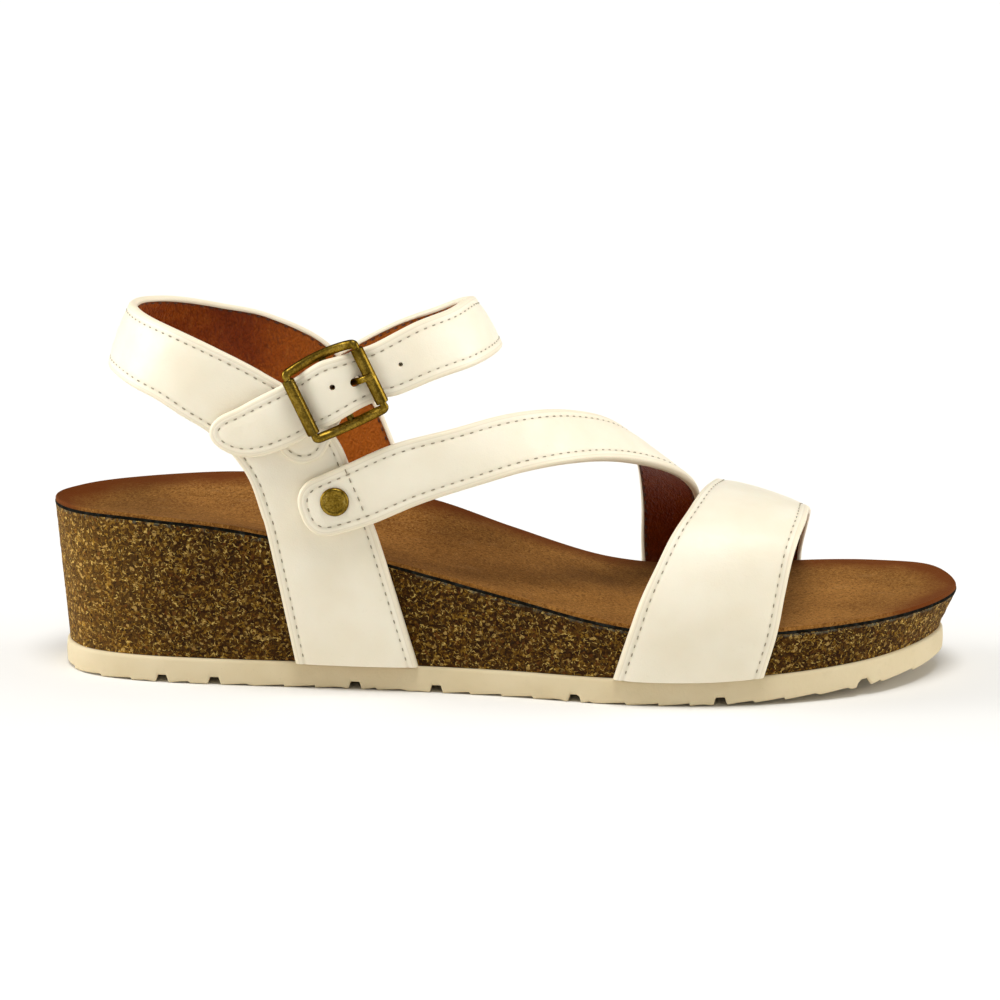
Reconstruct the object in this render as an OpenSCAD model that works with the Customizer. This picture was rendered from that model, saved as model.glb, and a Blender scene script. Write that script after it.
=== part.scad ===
// Wedge sandal for the right foot: moulded outsole, cork wedge, covered footbed,
// four padded straps and a double-roller buckle.
// X runs from heel to toe, Y towards the inner side of the foot, Z up from the ground.

/* [Sole] */
// Thickness of the moulded outsole
outsole_t = 7.4; // [6.4:0.2:8.4]
// Height that the toe end lifts off the ground
toe_spring = 5.1; // [3:0.1:6]
// How far the cork wall leans in from its top edge to its foot
cork_lean = 2.7; // [2:0.1:3]
// Ledge of outsole that stands out past the foot of the cork
ledge = 0.8; // [0.4:0.1:1.2]
// Thickness of the dark insole board
board_t = 0.9; // [0.8:0.1:1.4]
// Thickness of the footbed cover
cover_t = 1; // [0.8:0.1:1.6]
// Depth of the heel cup below the rim
cup_depth = 4; // [2:0.5:5]
// Depth of the tread grooves
groove_d = 2; // [1:0.2:2.6]
// Width of the tread grooves
groove_w = 2.4; // [1.6:0.2:3.2]

/* [Straps] */
// Thickness of the outer leather
skin_t = 0.9; // [0.7:0.1:1]
// Thickness of the foam between leather and lining
foam_t = 0.8; // [0.6:0.1:0.9]
// Thickness of the lining leather
lining_t = 0.9; // [0.7:0.1:1]
// Width of outer leather turned over along each edge
turn_w = 3; // [2.5:0.1:3.5]
// Diameter of a punched hole
hole_d = 2; // [1.6:0.1:2.2]
// Spacing of the punched holes
hole_pitch = 6.3; // [6:0.1:6.5]

/* [Buckle] */
// Angle of the buckle above the horizontal
tilt = 25.5; // [24:0.5:27]
// Distance from the middle bar to each roller
reach = 10.5; // [10.2:0.1:10.8]
// Diameter of the buckle wire
wire_d = 2; // [1.8:0.1:2.2]
// Outer diameter of a roller
roller_d = 3.5; // [3.3:0.1:3.6]
// Length of a roller
roller_l = 16.6; // [16:0.2:16.6]
// Width of the prong along the bars
prong_w = 1.8; // [1.5:0.1:1.9]
// Thickness of the prong
prong_t = 1.4; // [1.2:0.1:1.5]
// Radial clearance where a buckle part turns on its bar
running_gap = 0.06; // [0.04:0.01:0.08]

/* [Rivet] */
// Diameter of the rivet's cap
cap_d = 8; // [7:0.2:9]
// Height of the rivet's cap
cap_h = 1.6; // [1.2:0.1:2]
// Diameter of the rivet's post
post_d = 3; // [2.4:0.1:3.4]

/* [Hidden] */

cream = [0.95, 0.92, 0.84];
tan_brown = [0.52, 0.24, 0.12];
brass = [0.50, 0.42, 0.22];

strap_t = skin_t + foam_t + lining_t;
glue_gap = 0.1;
seat_r = running_gap + wire_d / 2;

// Rim of the footbed as [x, y, z], heel to toe, along the outer and the inner side.
heel_back = [-127.3, 4, 48.2];
toe_tip = [128.8, 14, 24.2];
rim_outer = [
    [-124.5, -8, 48.6], [-116, -18, 48.8], [-98, -24.5, 48.4], [-70, -27.5, 45.9],
    [-35, -29.5, 39.1], [0, -34, 31], [30, -40.5, 24.7], [52, -42, 22.2],
    [75, -39, 22.2], [97, -30.5, 22.8], [113, -19, 23.4], [124.5, -3, 23.9]
];
rim_inner = [
    [-124.5, 15, 47.8], [-116, 25, 47.8], [-100, 32.5, 48.1], [-76, 34.5, 48.9],
    [-48, 30.5, 47.8], [-22, 28.5, 43], [2, 32, 34], [30, 38.8, 24.2],
    [60, 42.3, 21.7], [85, 41.5, 23.6], [106, 37.2, 25], [122, 30, 25.4]
];
rim_step = 3;
rim_loop = concat([heel_back], rim_outer, [toe_tip], reversed(rim_inner));
rim_rows = (len(rim_outer) + 1) * rim_step;
across = 8;
spring_start = 37.5;
spring_run = 90;
// Tread grooves: where they cross the sole, and how much wider their mouths are.
grooves_x = [-94, -79, -39, -16, 23, 63.5, 103];
groove_flare = 0.6;
groove_reach = 60;

// Edges of the straps on their outer face: *_a is the rear or lower edge,
// *_b the front or upper one, and station i of one faces station i of the other.
toe_a = [
    [34, -41.3, 7.6], [38.5, -44.5, 22], [41.5, -44.5, 31], [45.5, -41.5, 40],
    [49.5, -36, 48], [53.5, -27, 53], [57, -13, 56], [59.5, 4, 55], [60, 22, 51],
    [59.5, 36, 42], [58.5, 43.5, 31], [58, 45.5, 21], [57.5, 42.6, 7.6]
];
toe_b = [
    [75.5, -39.5, 8.4], [79, -41.5, 21], [81, -40.5, 32], [83, -37.5, 42],
    [85, -31, 48], [86.5, -22, 50.5], [87, -8, 50], [87, 6, 47], [87.5, 22, 43],
    [86.5, 34, 36], [85, 41.5, 28], [84.5, 44.7, 22], [84, 42, 8.9]
];
toe_crown = [[0, 2.4], [2, 2], [4, 1.2], [8, 0.9], [10, 1.5], [12, 2.2]];
instep_a = [
    [-55.6, -36.8, 59.2], [-40.5, -36.8, 66], [-27, -36.2, 72], [-11.5, -33.5, 76],
    [3, -26, 79], [15, -14, 78.5], [25, 0, 75], [31.5, 12, 70], [36, 24, 63],
    [38, 33.5, 54], [38.5, 40, 42], [38, 43.5, 30], [38, 43.7, 21.5], [38, 41.2, 7.6]
];
instep_b = [
    [-50.1, -36.8, 44.2], [-34.5, -37.6, 49], [-19.5, -37.6, 55.5], [-3, -36, 61],
    [9, -31, 64], [21, -22, 65], [32.5, -9, 63.5], [43.5, 5, 59.5], [51, 15, 55],
    [55, 25, 49], [56, 34.5, 41], [56.5, 42, 31], [56, 45.2, 21], [55.5, 42.6, 7.6]
];
quarter_a = [
    [-55.5, -29.4, 7.6], [-62.5, -32.2, 43.5], [-64.5, -32.4, 51], [-67.5, -32.5, 60],
    [-72, -32.4, 67], [-79, -31.5, 73.5], [-87, -30, 78], [-94.5, -27, 82],
    [-102, -21.5, 84.5], [-107.5, -13, 86], [-111, -3, 86.5], [-111.5, 7, 86.5],
    [-108.5, 17, 86.5], [-101, 25, 86.5], [-90, 30, 84.5], [-79, 32, 80.5],
    [-69, 33.5, 72.5], [-63, 34.5, 62], [-61, 36, 53], [-58.5, 36, 45], [-52, 33.5, 7.6]
];
quarter_b = [
    [-21, -31.4, 7.6], [-30.5, -33.3, 40.5], [-34, -33.6, 51], [-38.5, -33.8, 62],
    [-43, -33.8, 72.5], [-53, -33, 84], [-63.5, -31.5, 90.5], [-76, -29.5, 96.5],
    [-88, -24.5, 101], [-98, -15.5, 103.5], [-103.5, -5, 104.5], [-105, 5, 104.5],
    [-102.5, 14.5, 104], [-94.5, 23.5, 102.5], [-82.5, 29.5, 99.5], [-69, 32.5, 96],
    [-53, 34, 88], [-40, 34.5, 73], [-33, 34, 58], [-27.5, 33.2, 44], [-14, 31, 7.6]
];

// Buckle: the middle of its centre bar, and the ankle strap's route around it.
buckle_at = [-42.5, -37.2, 87.5];
roller_up = 3.8;
ankle_crown = [[0, 0.3]];
instep_tip = 7.5;
ankle_tip = 17;
ankle_end = 8;
strap_route = [
    [-reach, -8.4, 7.5, 1.05], [-5, -8.1, 8.7, 3.7], [0, -7.6, 9.2, 4.7],
    [5, -7.3, 8.4, 3.7], [reach, -7.8, 7.4, 1.05], [15.5, -8.8, 7, 0.2]
];
ankle_tail_a = [[-77.9, -35.2, 66.1], [-66.9, -37.2, 67], [-54.8, -38.2, 71.6]];
ankle_tail_b = [[-78.6, -34.9, 82], [-70.4, -36.3, 82.2], [-61.8, -38.2, 86.2]];
ankle_front_a = [
    [-15, -34, 90], [-5, -25.5, 92.5], [0, -12, 93.5], [0.5, 3.5, 93], [-4, 17, 90.5],
    [-13, 27, 86], [-25, 33.5, 79.5], [-39, 38.2, 72], [-50, 38, 65.5]
];
ankle_front_b = [
    [-21, -32, 105.5], [-12, -23, 108], [-8, -10, 109], [-8, 4, 107], [-12, 16, 104.5],
    [-20, 26, 100], [-32, 32.5, 94.5], [-45, 37.4, 87], [-57, 36.8, 80]
];
through_buckle = function (edge) [for (s = strap_route) on_buckle(s[0], s[edge], s[3])];
ankle_a = concat(ankle_tail_a, through_buckle(1), ankle_front_a);
ankle_b = concat(ankle_tail_b, through_buckle(2), ankle_front_b);
drill = 20;
spare_holes = [[0, 1.5], [3 * hole_pitch, -1.3]];
prong_drill = 9;
prong_hole_x = hole_pitch;
prong_hole_z = 2.2;
prong_hole_w = prong_w + 0.9;
prong_slot = 1.9;
prong_slope = 35;

// Leather tab that holds the buckle: a flat plate from a round end up to the centre
// bar, as [x, z] points of its two edges, and a loop around the bar.
tab_t = 1.5;
tab_y = -35.35;
tab_end = [-52.4, 73.2];
tab_end_r = 7.3;
tab_rear = [[-59.6, 73.6], [-57.8, 79], [-52.5, 86.5], [-45.3, 93.4]];
tab_front = [[-45.3, 72], [-43.6, 76], [-41.4, 79], [-39.7, 81.6]];
loop_r = seat_r + 0.85;
loop_half_w = 6.5;
loop_root = 1.6;
loop_depth = 2.3;
prong_slot_size = [9, 2.8, 4.8];

// Buckle frame: half the length of its bars, and the side wires, which arch outwards
// and down to the ends of the centre bar.
bow = 9.85;
arch = 1.15;
arch_low = 0.5;
side_d = 2.6;
corner_d = side_d + 0.3;
arch_drop = roller_up - arch_low;
arch_tilt = atan(arch_drop / arch);
arch_h = norm([arch, arch_drop]);
arch_r = (reach * reach + arch_h * arch_h) / (2 * arch_h);
arch_angle = asin(reach / arch_r);

// Prong: an eye on the centre bar and a bent strip that rests on the front roller.
prong_eye_d = 3.6;
prong_rest = roller_up + roller_d / 2 + prong_t / 2 + 0.1;
prong_path = [
    [0.4, -1], [2, -0.95], [3.8, -0.3], [5.2, 1], [6.6, 2.9], [7.8, 4.8], [8.8, 5.7],
    [10, prong_rest], [11.2, prong_rest], [12, prong_rest - 0.2]
];

rivet_at = [-43.2, -37.6, 56];
cap_rim = 0.5;
cap_slope = 1.4;
washer_d = 6.5;
washer_t = 0.8;
post_l = 2 * strap_t + 1.7;

// ---- Points and curves ----

function reversed(v) = [for (i = [len(v) - 1:-1:0]) v[i]];
function unit(v) = v / norm(v);
function mix(a, b, t) = a * (1 - t) + b * t;

// Smooth curve through four neighbouring points, t from the second to the third.
function curve4(p, q, r, s, t) =
    0.5 * (
        2 * q + (r - p) * t + (2 * p - 5 * q + 4 * r - s) * t * t
        + (3 * q - p - 3 * r + s) * t * t * t
    );

function on_loop(v, u) =
    let (n = len(v), i = floor(u))
    curve4(v[(i + n - 1) % n], v[i % n], v[(i + 1) % n], v[(i + 2) % n], u - i);

function on_path(v, u) =
    let (n = len(v), i = min(floor(u), n - 2))
    curve4(
        i > 0 ? v[i - 1] : 2 * v[0] - v[1], v[i], v[i + 1],
        i + 2 < n ? v[i + 2] : 2 * v[n - 1] - v[n - 2], u - i
    );

// ---- Sole surfaces ----

// Point of the rim at loop position u, moved in by inset in plan. On the foot of the
// leaning wall it is moved in by the lean instead, and out again by inset.
function rim_at(u, inset, leaning) =
    let (
        n = len(rim_loop),
        p = on_loop(rim_loop, (u + n) % n),
        d = on_loop(rim_loop, (u + 0.1 + n) % n) - on_loop(rim_loop, (u - 0.1 + n) % n),
        side = unit([-d[1], d[0], 0])
    )
    p + side * (leaning ? lean(p[0]) - inset : inset);

function rim_pair(row, inset, leaning) =
    let (u = (row + 0.5) / rim_step)
    [rim_at(u, inset, leaning), rim_at(len(rim_loop) - u, inset, leaning)];

// The wall leans in more at the heel and most at the toe.
function lean(x) = cork_lean + 0.8 * pow(max(0, (-95 - x) / 33), 2) + 1.6 * pow(max(0, (x - 95) / 33), 2);
function ground(x) = x < spring_start ? 0 : toe_spring * pow((x - spring_start) / spring_run, 2);
function dish(x) = x < -60 ? cup_depth : max(1.2, cup_depth * (1 - (x + 60) / 170));

// Rows of points from rim to rim. A top sheet follows the rim and dips between;
// a ground sheet runs at a fixed height above the underside.
function top_sheet(drop) = [
    for (row = [0:rim_rows - 1])
    let (ends = rim_pair(row, 0, false))
    [
        for (j = [0:across])
        let (
            t = (1 - cos(180 * j / across)) / 2,
            p = mix(ends[0], ends[1], t),
            w = norm(ends[1] - ends[0])
        )
        [p[0], p[1], p[2] - drop - dish(p[0]) * 4 * t * (1 - t) * min(1, w / 40)]
    ]
];
function ground_sheet(height, stand_out) = [
    for (row = [0:rim_rows - 1])
    let (ends = rim_pair(row, stand_out, true))
    [
        for (j = [0:across])
        let (t = (1 - cos(180 * j / across)) / 2, p = mix(ends[0], ends[1], t))
        [p[0], p[1], ground(p[0]) + height]
    ]
];

// Closed solid between two sheets of the same number of points.
module slab(upper, lower) {
    rows = len(upper);
    cols = len(upper[0]);
    n = rows * cols;
    up = [for (r = upper) each r];
    low = [for (r = lower) each r];
    cell = function (a, b, c, d) [[a, b, c], [a, c, d]];
    faces = concat(
        [
            for (i = [0:rows - 2], j = [0:cols - 2])
            let (k = i * cols + j)
            each cell(k, k + 1, k + cols + 1, k + cols)
        ],
        [
            for (i = [0:rows - 2], j = [0:cols - 2])
            let (k = n + i * cols + j)
            each cell(k, k + cols, k + cols + 1, k + 1)
        ],
        [
            for (i = [0:rows - 2])
            let (k = i * cols, m = i * cols + cols - 1)
            each concat(cell(k, k + cols, k + cols + n, k + n), cell(m + cols, m, m + n, m + cols + n))
        ],
        [
            for (j = [0:cols - 2])
            let (k = j, m = n - cols + j)
            each concat(cell(k + 1, k, k + n, k + 1 + n), cell(m, m + 1, m + 1 + n, m + n))
        ]
    );
    polyhedron(points = concat(up, low), faces = faces);
}

// ---- Straps ----

// Places along the strap, closer together at a rounded end.
tip_steps = [0, 0.04, 0.11, 0.2, 0.32, 0.5, 0.75];
function strap_places(n, tip, tail) = concat(
    tip ? tip_steps : [0, 0.5],
    [for (i = [1:n - (tail ? 3 : 2)]) each [i, i + 0.5]],
    tail ? [for (t = reversed(tip_steps)) n - 1 - t] : [n - 1]
);

// Share of the full width left at a distance d from an end rounded over a length r.
// A power n of 2 gives an ellipse, and more gives squarer corners.
function round_share(d, r, n) = d >= r ? 1 : max(0.22, pow(1 - pow(1 - d / r, n), 1 / n));

// Cross-section corners as [edge, place, height]. Edge -1 or 1 measures place in from
// that edge of the strap, edge 0 takes it as a share of the half width, and height is
// measured from the lining's inner face.
function row(places, height) = [for (c = places) [c[0], c[1], height]];
core = [[0, -0.5], [0, 0], [0, 0.5]];
foam_row = concat([[-1, turn_w]], core, [[1, turn_w]]);
lining_row = concat([[-1, 0.5]], foam_row, [[1, 0.5]]);
skin_section = concat(
    [[-1, 0, lining_t], [-1, 0, strap_t - 0.6]],
    row(concat([[-1, 0.6]], core, [[1, 0.6]]), strap_t),
    [[1, 0, strap_t - 0.6], [1, 0, lining_t], [1, 0.5, lining_t], [1, turn_w, lining_t]],
    row(reversed(foam_row), lining_t + foam_t),
    [[-1, turn_w, lining_t], [-1, 0.5, lining_t]]
);
foam_section = concat(row(foam_row, lining_t + foam_t), row(reversed(foam_row), lining_t));
lining_section = concat(row(lining_row, lining_t), row(reversed(lining_row), 0));

// Place of a corner across a strap of width w.
function across_at(c, w) = c[0] == 0 ? c[1] * w / 2 : c[0] * (w / 2 - min(c[1], 0.2 * w));

// Sweeps a cross-section between edge curves a and b, whose points lie at height top.
// The crown is how far the middle stands out from the line between the edges. Tip and
// tail are the lengths over which the first and the last end are rounded.
module strap(a, b, section, top, crown = [[0, 0.4]], tip = 0, tail = 0, tip_n = 2) {
    us = strap_places(len(a), tip > 0, tail > 0);
    k = len(section);
    last = len(a) - 1;
    span = function (i) norm((a[i + 1] + b[i + 1] - a[i] - b[i]) / 2);
    rings = [
        for (u = us)
        let (
            p = on_path(a, u), q = on_path(b, u),
            u0 = max(u - 0.05, 0), u1 = min(u + 0.05, last),
            along = on_path(a, u1) + on_path(b, u1) - on_path(a, u0) - on_path(b, u0),
            middle = (p + q) / 2,
            start_share = tip > 0 ? round_share(u * span(0), tip, tip_n) : 1,
            end_share = tail > 0 ? round_share((last - u) * span(last - 1), tail, 2) : 1,
            w = norm(q - p) * min(start_share, end_share),
            side = unit(q - p),
            out = unit(cross(side, along)),
            rise = lookup(u, crown)
        )
        [
            for (c = section)
            let (x = across_at(c, w), lift = rise * (1 - pow(2 * x / w, 2)))
            middle + side * x + out * (c[2] - top + lift)
        ]
    ];
    n = len(rings);
    // Faces that two layers share are split along the same diagonal in both.
    rightward = [
        for (j = [0:k - 1])
        let (step = across_at(section[(j + 1) % k], 17) - across_at(section[j], 17))
        step > 0 || (step == 0 && section[(j + 1) % k][2] > section[j][2])
    ];
    faces = concat(
        [
            for (i = [0:n - 2], j = [0:k - 1])
            let (m = (j + 1) % k, c = i * k + j, d = i * k + m, e = c + k, f = d + k)
            each rightward[j] ? [[c, f, d], [c, e, f]] : [[c, e, d], [d, e, f]]
        ],
        [[for (j = [0:k - 1]) j]],
        [[for (j = [k - 1:-1:0]) (n - 1) * k + j]]
    );
    polyhedron(points = [for (r = rings) each r], faces = faces);
}

// ---- Buckle places ----

// Point at x along the strap, y along the bars and z outwards from the centre bar.
function on_buckle(x, y, z) =
    buckle_at + [x * cos(tilt) - y * sin(tilt), -z, x * sin(tilt) + y * cos(tilt)];
module at_buckle() {
    translate(buckle_at) rotate([0, -tilt, 0]) rotate([90, 0, 0]) children();
}
module bar(x, z, d, l) {
    translate([x, l / 2, z]) rotate([90, 0, 0]) cylinder(d = d, h = l, $fn = 48);
}

// Outline of a bent strip of thickness t along a list of [x, z] points.
function strip(path, t) =
    let (
        n = len(path),
        across = [
            for (i = [0:n - 1])
            let (d = unit(path[min(i + 1, n - 1)] - path[max(i - 1, 0)]))
            [-d[1], d[0]] * t / 2
        ]
    )
    concat([for (i = [0:n - 1]) path[i] + across[i]], [for (i = [n - 1:-1:0]) path[i] - across[i]]);

// ---- Holes ----

module punched_holes() {
    at_buckle() {
        for (at = spare_holes)
            translate(at)
                cylinder(d = hole_d, h = drill, center = true, $fn = 32);
        for (s = [-1, 1])
            translate([prong_hole_x + s * prong_slot / 2, 0, prong_hole_z])
                rotate([0, prong_slope, 0])
                    cylinder(d = prong_hole_w, h = prong_drill, center = true, $fn = 32);
        translate([prong_hole_x, 0, prong_hole_z])
            rotate([0, prong_slope, 0])
                cube([prong_slot, prong_hole_w, prong_drill], center = true);
    }
}
module rivet_hole() {
    translate(rivet_at) rotate([90, 0, 0]) cylinder(d = post_d, h = drill, center = true, $fn = 32);
}

// ---- Sub-parts ----

module outsole() {
    mouth = groove_w / 2 + groove_flare;
    color([0.90, 0.84, 0.70])
    difference() {
        slab(ground_sheet(outsole_t, ledge), ground_sheet(0, ledge));
        for (x = grooves_x)
            translate([x, groove_reach, ground(x)])
                rotate([90, 0, 0])
                    linear_extrude(2 * groove_reach)
                        polygon([
                            [-mouth, -1], [mouth, -1], [mouth, 0],
                            [groove_w / 2, groove_d], [-groove_w / 2, groove_d], [-mouth, 0]
                        ]);
    }
}
module cork_wedge() {
    color([0.45, 0.32, 0.16])
    slab(top_sheet(cover_t + board_t), ground_sheet(outsole_t + glue_gap, 0));
}
module insole_board() {
    color([0.08, 0.07, 0.07])
    slab(top_sheet(cover_t), top_sheet(cover_t + board_t));
}
module footbed_cover() {
    color([0.45, 0.28, 0.17])
    slab(top_sheet(0), top_sheet(cover_t));
}

module toe_strap_outer() {
    color(cream) strap(toe_a, toe_b, skin_section, strap_t, toe_crown);
}
module toe_strap_foam() {
    color("beige") strap(toe_a, toe_b, foam_section, strap_t, toe_crown);
}
module toe_strap_lining() {
    color(tan_brown) strap(toe_a, toe_b, lining_section, strap_t, toe_crown);
}

module instep_strap_outer() {
    color(cream)
    difference() {
        strap(instep_a, instep_b, skin_section, strap_t, tip = instep_tip, tip_n = 2.5);
        rivet_hole();
    }
}
module instep_strap_foam() {
    color("beige")
    difference() {
        strap(instep_a, instep_b, foam_section, strap_t, tip = instep_tip, tip_n = 2.5);
        rivet_hole();
    }
}
module instep_strap_lining() {
    color(tan_brown)
    difference() {
        strap(instep_a, instep_b, lining_section, strap_t, tip = instep_tip, tip_n = 2.5);
        rivet_hole();
    }
}

module heel_quarter_outer() {
    color(cream)
    difference() {
        strap(quarter_a, quarter_b, skin_section, strap_t);
        rivet_hole();
    }
}
module heel_quarter_foam() {
    color("beige")
    difference() {
        strap(quarter_a, quarter_b, foam_section, strap_t);
        rivet_hole();
    }
}
module heel_quarter_lining() {
    color(tan_brown)
    difference() {
        strap(quarter_a, quarter_b, lining_section, strap_t);
        rivet_hole();
    }
}

module ankle_strap_outer() {
    color(cream)
    difference() {
        strap(ankle_b, ankle_a, skin_section, strap_t, ankle_crown, ankle_tip, ankle_end);
        punched_holes();
    }
}
module ankle_strap_foam() {
    color("beige")
    difference() {
        strap(ankle_b, ankle_a, foam_section, strap_t, ankle_crown, ankle_tip, ankle_end);
        punched_holes();
    }
}
module ankle_strap_lining() {
    color(tan_brown)
    difference() {
        strap(ankle_b, ankle_a, lining_section, strap_t, ankle_crown, ankle_tip, ankle_end);
        punched_holes();
    }
}

module buckle_tab() {
    smooth = function (edge) [for (u = [0:0.25:len(edge) - 1]) on_path(edge, u)];
    color(cream)
    difference() {
        union() {
            translate([0, tab_y + tab_t, 0])
                rotate([90, 0, 0])
                    linear_extrude(tab_t) {
                        polygon(concat(smooth(tab_rear), reversed(smooth(tab_front))));
                        translate(tab_end) circle(r = tab_end_r, $fn = 64);
                    }
            at_buckle() bar(0, 0, 2 * loop_r, 2 * loop_half_w);
            at_buckle()
                translate([-loop_root, -loop_half_w, -loop_depth])
                    cube([2 * loop_root, 2 * loop_half_w, loop_depth]);
        }
        at_buckle() bar(0, 0, 2 * seat_r, 4 * loop_half_w);
        at_buckle() cube(prong_slot_size, center = true);
    }
}

module buckle_frame() {
    color(brass)
    at_buckle() {
        bar(0, 0, wire_d, 2 * (bow + arch));
        for (s = [-1, 1]) {
            bar(s * reach, roller_up, wire_d, 2 * bow);
            for (e = [-1, 1]) translate([s * reach, e * bow, roller_up]) sphere(d = corner_d, $fn = 48);
        }
        for (e = [-1, 1])
            translate([0, e * (bow + arch), arch_low])
                rotate([-e * arch_tilt, 0, 0])
                    translate([0, -e * arch_r, 0])
                        rotate([0, 0, 90 * e - arch_angle])
                            rotate_extrude(angle = 2 * arch_angle, $fn = 96)
                                translate([arch_r, 0]) circle(d = side_d, $fn = 32);
    }
}
module roller(s) {
    color(brass)
    at_buckle()
    difference() {
        bar(s * reach, roller_up, roller_d, roller_l);
        bar(s * reach, roller_up, 2 * seat_r, roller_l + 2);
    }
}
module buckle_roller_rear() {
    roller(-1);
}
module buckle_roller_front() {
    roller(1);
}

module buckle_prong() {
    color(brass)
    at_buckle()
    difference() {
        union() {
            bar(0, 0, prong_eye_d, prong_w);
            rotate([90, 0, 0])
                translate([0, 0, -prong_w / 2])
                    linear_extrude(prong_w) polygon(strip(prong_path, prong_t));
        }
        bar(0, 0, 2 * seat_r, 2 * prong_w);
    }
}

module rivet_cap() {
    color(brass)
    translate(rivet_at) rotate([90, 0, 0])
    rotate_extrude($fn = 64)
        polygon([
            [0, 0], [cap_d / 2, 0], [cap_d / 2, cap_h * 0.45], [cap_d / 2 - cap_rim, cap_h * 0.8],
            [cap_d / 2 - cap_slope, cap_h], [0, cap_h]
        ]);
}
module rivet_post() {
    color(brass)
    translate(rivet_at) rotate([-90, 0, 0]) {
        cylinder(d = post_d, h = post_l, $fn = 32);
        translate([0, 0, post_l]) cylinder(d = washer_d, h = washer_t, $fn = 48);
    }
}

outsole();
cork_wedge();
insole_board();
footbed_cover();
toe_strap_outer();
toe_strap_foam();
toe_strap_lining();
instep_strap_outer();
instep_strap_foam();
instep_strap_lining();
heel_quarter_outer();
heel_quarter_foam();
heel_quarter_lining();
ankle_strap_outer();
ankle_strap_foam();
ankle_strap_lining();
buckle_tab();
buckle_frame();
buckle_roller_rear();
buckle_roller_front();
buckle_prong();
rivet_cap();
rivet_post();
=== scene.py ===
"""Looks of the wedge sandal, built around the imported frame. Shapes are worked out in
millimetres and turned into metres where a mesh is made."""
import math

import bmesh
import bpy
import numpy as np
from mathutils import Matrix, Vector, noise


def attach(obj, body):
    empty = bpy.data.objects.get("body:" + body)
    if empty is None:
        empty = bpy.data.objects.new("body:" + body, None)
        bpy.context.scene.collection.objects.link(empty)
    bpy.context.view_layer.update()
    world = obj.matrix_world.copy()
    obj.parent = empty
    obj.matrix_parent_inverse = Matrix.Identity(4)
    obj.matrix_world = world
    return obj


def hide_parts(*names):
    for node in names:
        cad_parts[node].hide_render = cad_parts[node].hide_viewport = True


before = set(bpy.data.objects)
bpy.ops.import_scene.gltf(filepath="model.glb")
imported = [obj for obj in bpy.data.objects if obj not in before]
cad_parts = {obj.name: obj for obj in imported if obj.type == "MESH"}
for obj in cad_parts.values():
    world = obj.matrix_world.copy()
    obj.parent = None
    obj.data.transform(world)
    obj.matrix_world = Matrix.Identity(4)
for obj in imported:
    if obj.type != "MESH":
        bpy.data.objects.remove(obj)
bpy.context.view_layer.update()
MM = 0.001
# Meshes: points this close are joined, faces this thin are dropped, holes are cut this
# far each way, and creases sharper than this stay sharp.
WELD_WITHIN, DROP_BELOW, DRILL_REACH = 0.012, 0.002, 6
SHARP_OVER = math.radians(50)


def add_object(name, data):
    made = bpy.data.objects.new(name, data)
    bpy.context.collection.objects.link(made)
    return made


# ---- Camera, lights and floor ----

CAMERA_AT = (96.1, -1344.1, 341.5)
CAMERA_AIM = (-0.5, 3.46, 48.2)
LENS = 175.68


def make_camera():
    data = bpy.data.cameras.new("camera")
    data.lens = LENS
    data.sensor_width = 36
    data.clip_start = 0.01
    camera = add_object("camera", data)
    at = Vector(CAMERA_AT) * MM
    aim = Vector(CAMERA_AIM) * MM
    camera.location = at
    camera.rotation_mode = "QUATERNION"
    camera.rotation_quaternion = (aim - at).to_track_quat("-Z", "Y")
    bpy.context.scene.camera = camera


def wide_light(name, side, strength, spread):
    """An even, soft light over everything, from the side given."""
    data = bpy.data.lights.new(name, "SUN")
    data.energy = strength
    data.angle = math.radians(spread)
    light = add_object(name, data)
    light.location = side
    light.rotation_mode = "QUATERNION"
    light.rotation_quaternion = (-Vector(side)).to_track_quat("-Z", "Y")


def make_studio():
    world = bpy.data.worlds.new("studio")
    bpy.context.scene.world = world
    world.use_nodes = True
    background = world.node_tree.nodes["Background"]
    background.inputs["Color"].default_value = (1, 0.99, 0.965, 1)
    background.inputs["Strength"].default_value = 0.34
    wide_light("top_light", (0.05, -0.27, 1), 2.05, 28)
    wide_light("left_light", (-1, 0.0, 0.30), 2.3, 40)
    wide_light("right_light", (1, 0.06, 0.25), 1.6, 40)
    bpy.context.scene.view_settings.view_transform = "Standard"
    bpy.context.scene.view_settings.look = "None"


# ---- Curves ----


def cubic(p, q, r, s, t):
    """The smooth curve through p, q, r and s, at shares t of the way from q to r."""
    t = t[:, None]
    curve = 2 * q + (r - p) * t + (2 * p - 5 * q + 4 * r - s) * t**2
    return 0.5 * (curve + (3 * q - p - 3 * r + s) * t**3)


def on_path(points, u):
    """Points of the smooth curve through an open list of points, at places u."""
    v = np.vstack([2 * points[0] - points[1], points, 2 * points[-1] - points[-2]])
    i = np.clip(np.floor(u).astype(int), 0, len(points) - 2)
    return cubic(v[i], v[i + 1], v[i + 2], v[i + 3], u - i)


def on_loop(points, u):
    """Points of the smooth closed curve through a loop of points, at places u."""
    i = np.floor(u).astype(int)
    p, q, r, s = (points[(i + k) % len(points)] for k in (-1, 0, 1, 2))
    return cubic(p, q, r, s, u - i)


def run_along(points):
    """Distance of each point from the first, along the line through them."""
    return np.concatenate([[0], np.cumsum(np.linalg.norm(np.diff(points, axis=0), axis=1))])


def turns(count):
    """Even angles round one full turn."""
    return np.arange(count) * 2 * math.pi / count


def unit(v):
    return v / np.maximum(np.linalg.norm(v, axis=-1, keepdims=True), 1e-9)


def smooth(x, low, high):
    t = np.clip((x - low) / (high - low), 0, 1)
    return t * t * (3 - 2 * t)


def bump(x, centre, width):
    return np.exp(-(((x - centre) / width) ** 2))


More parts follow.
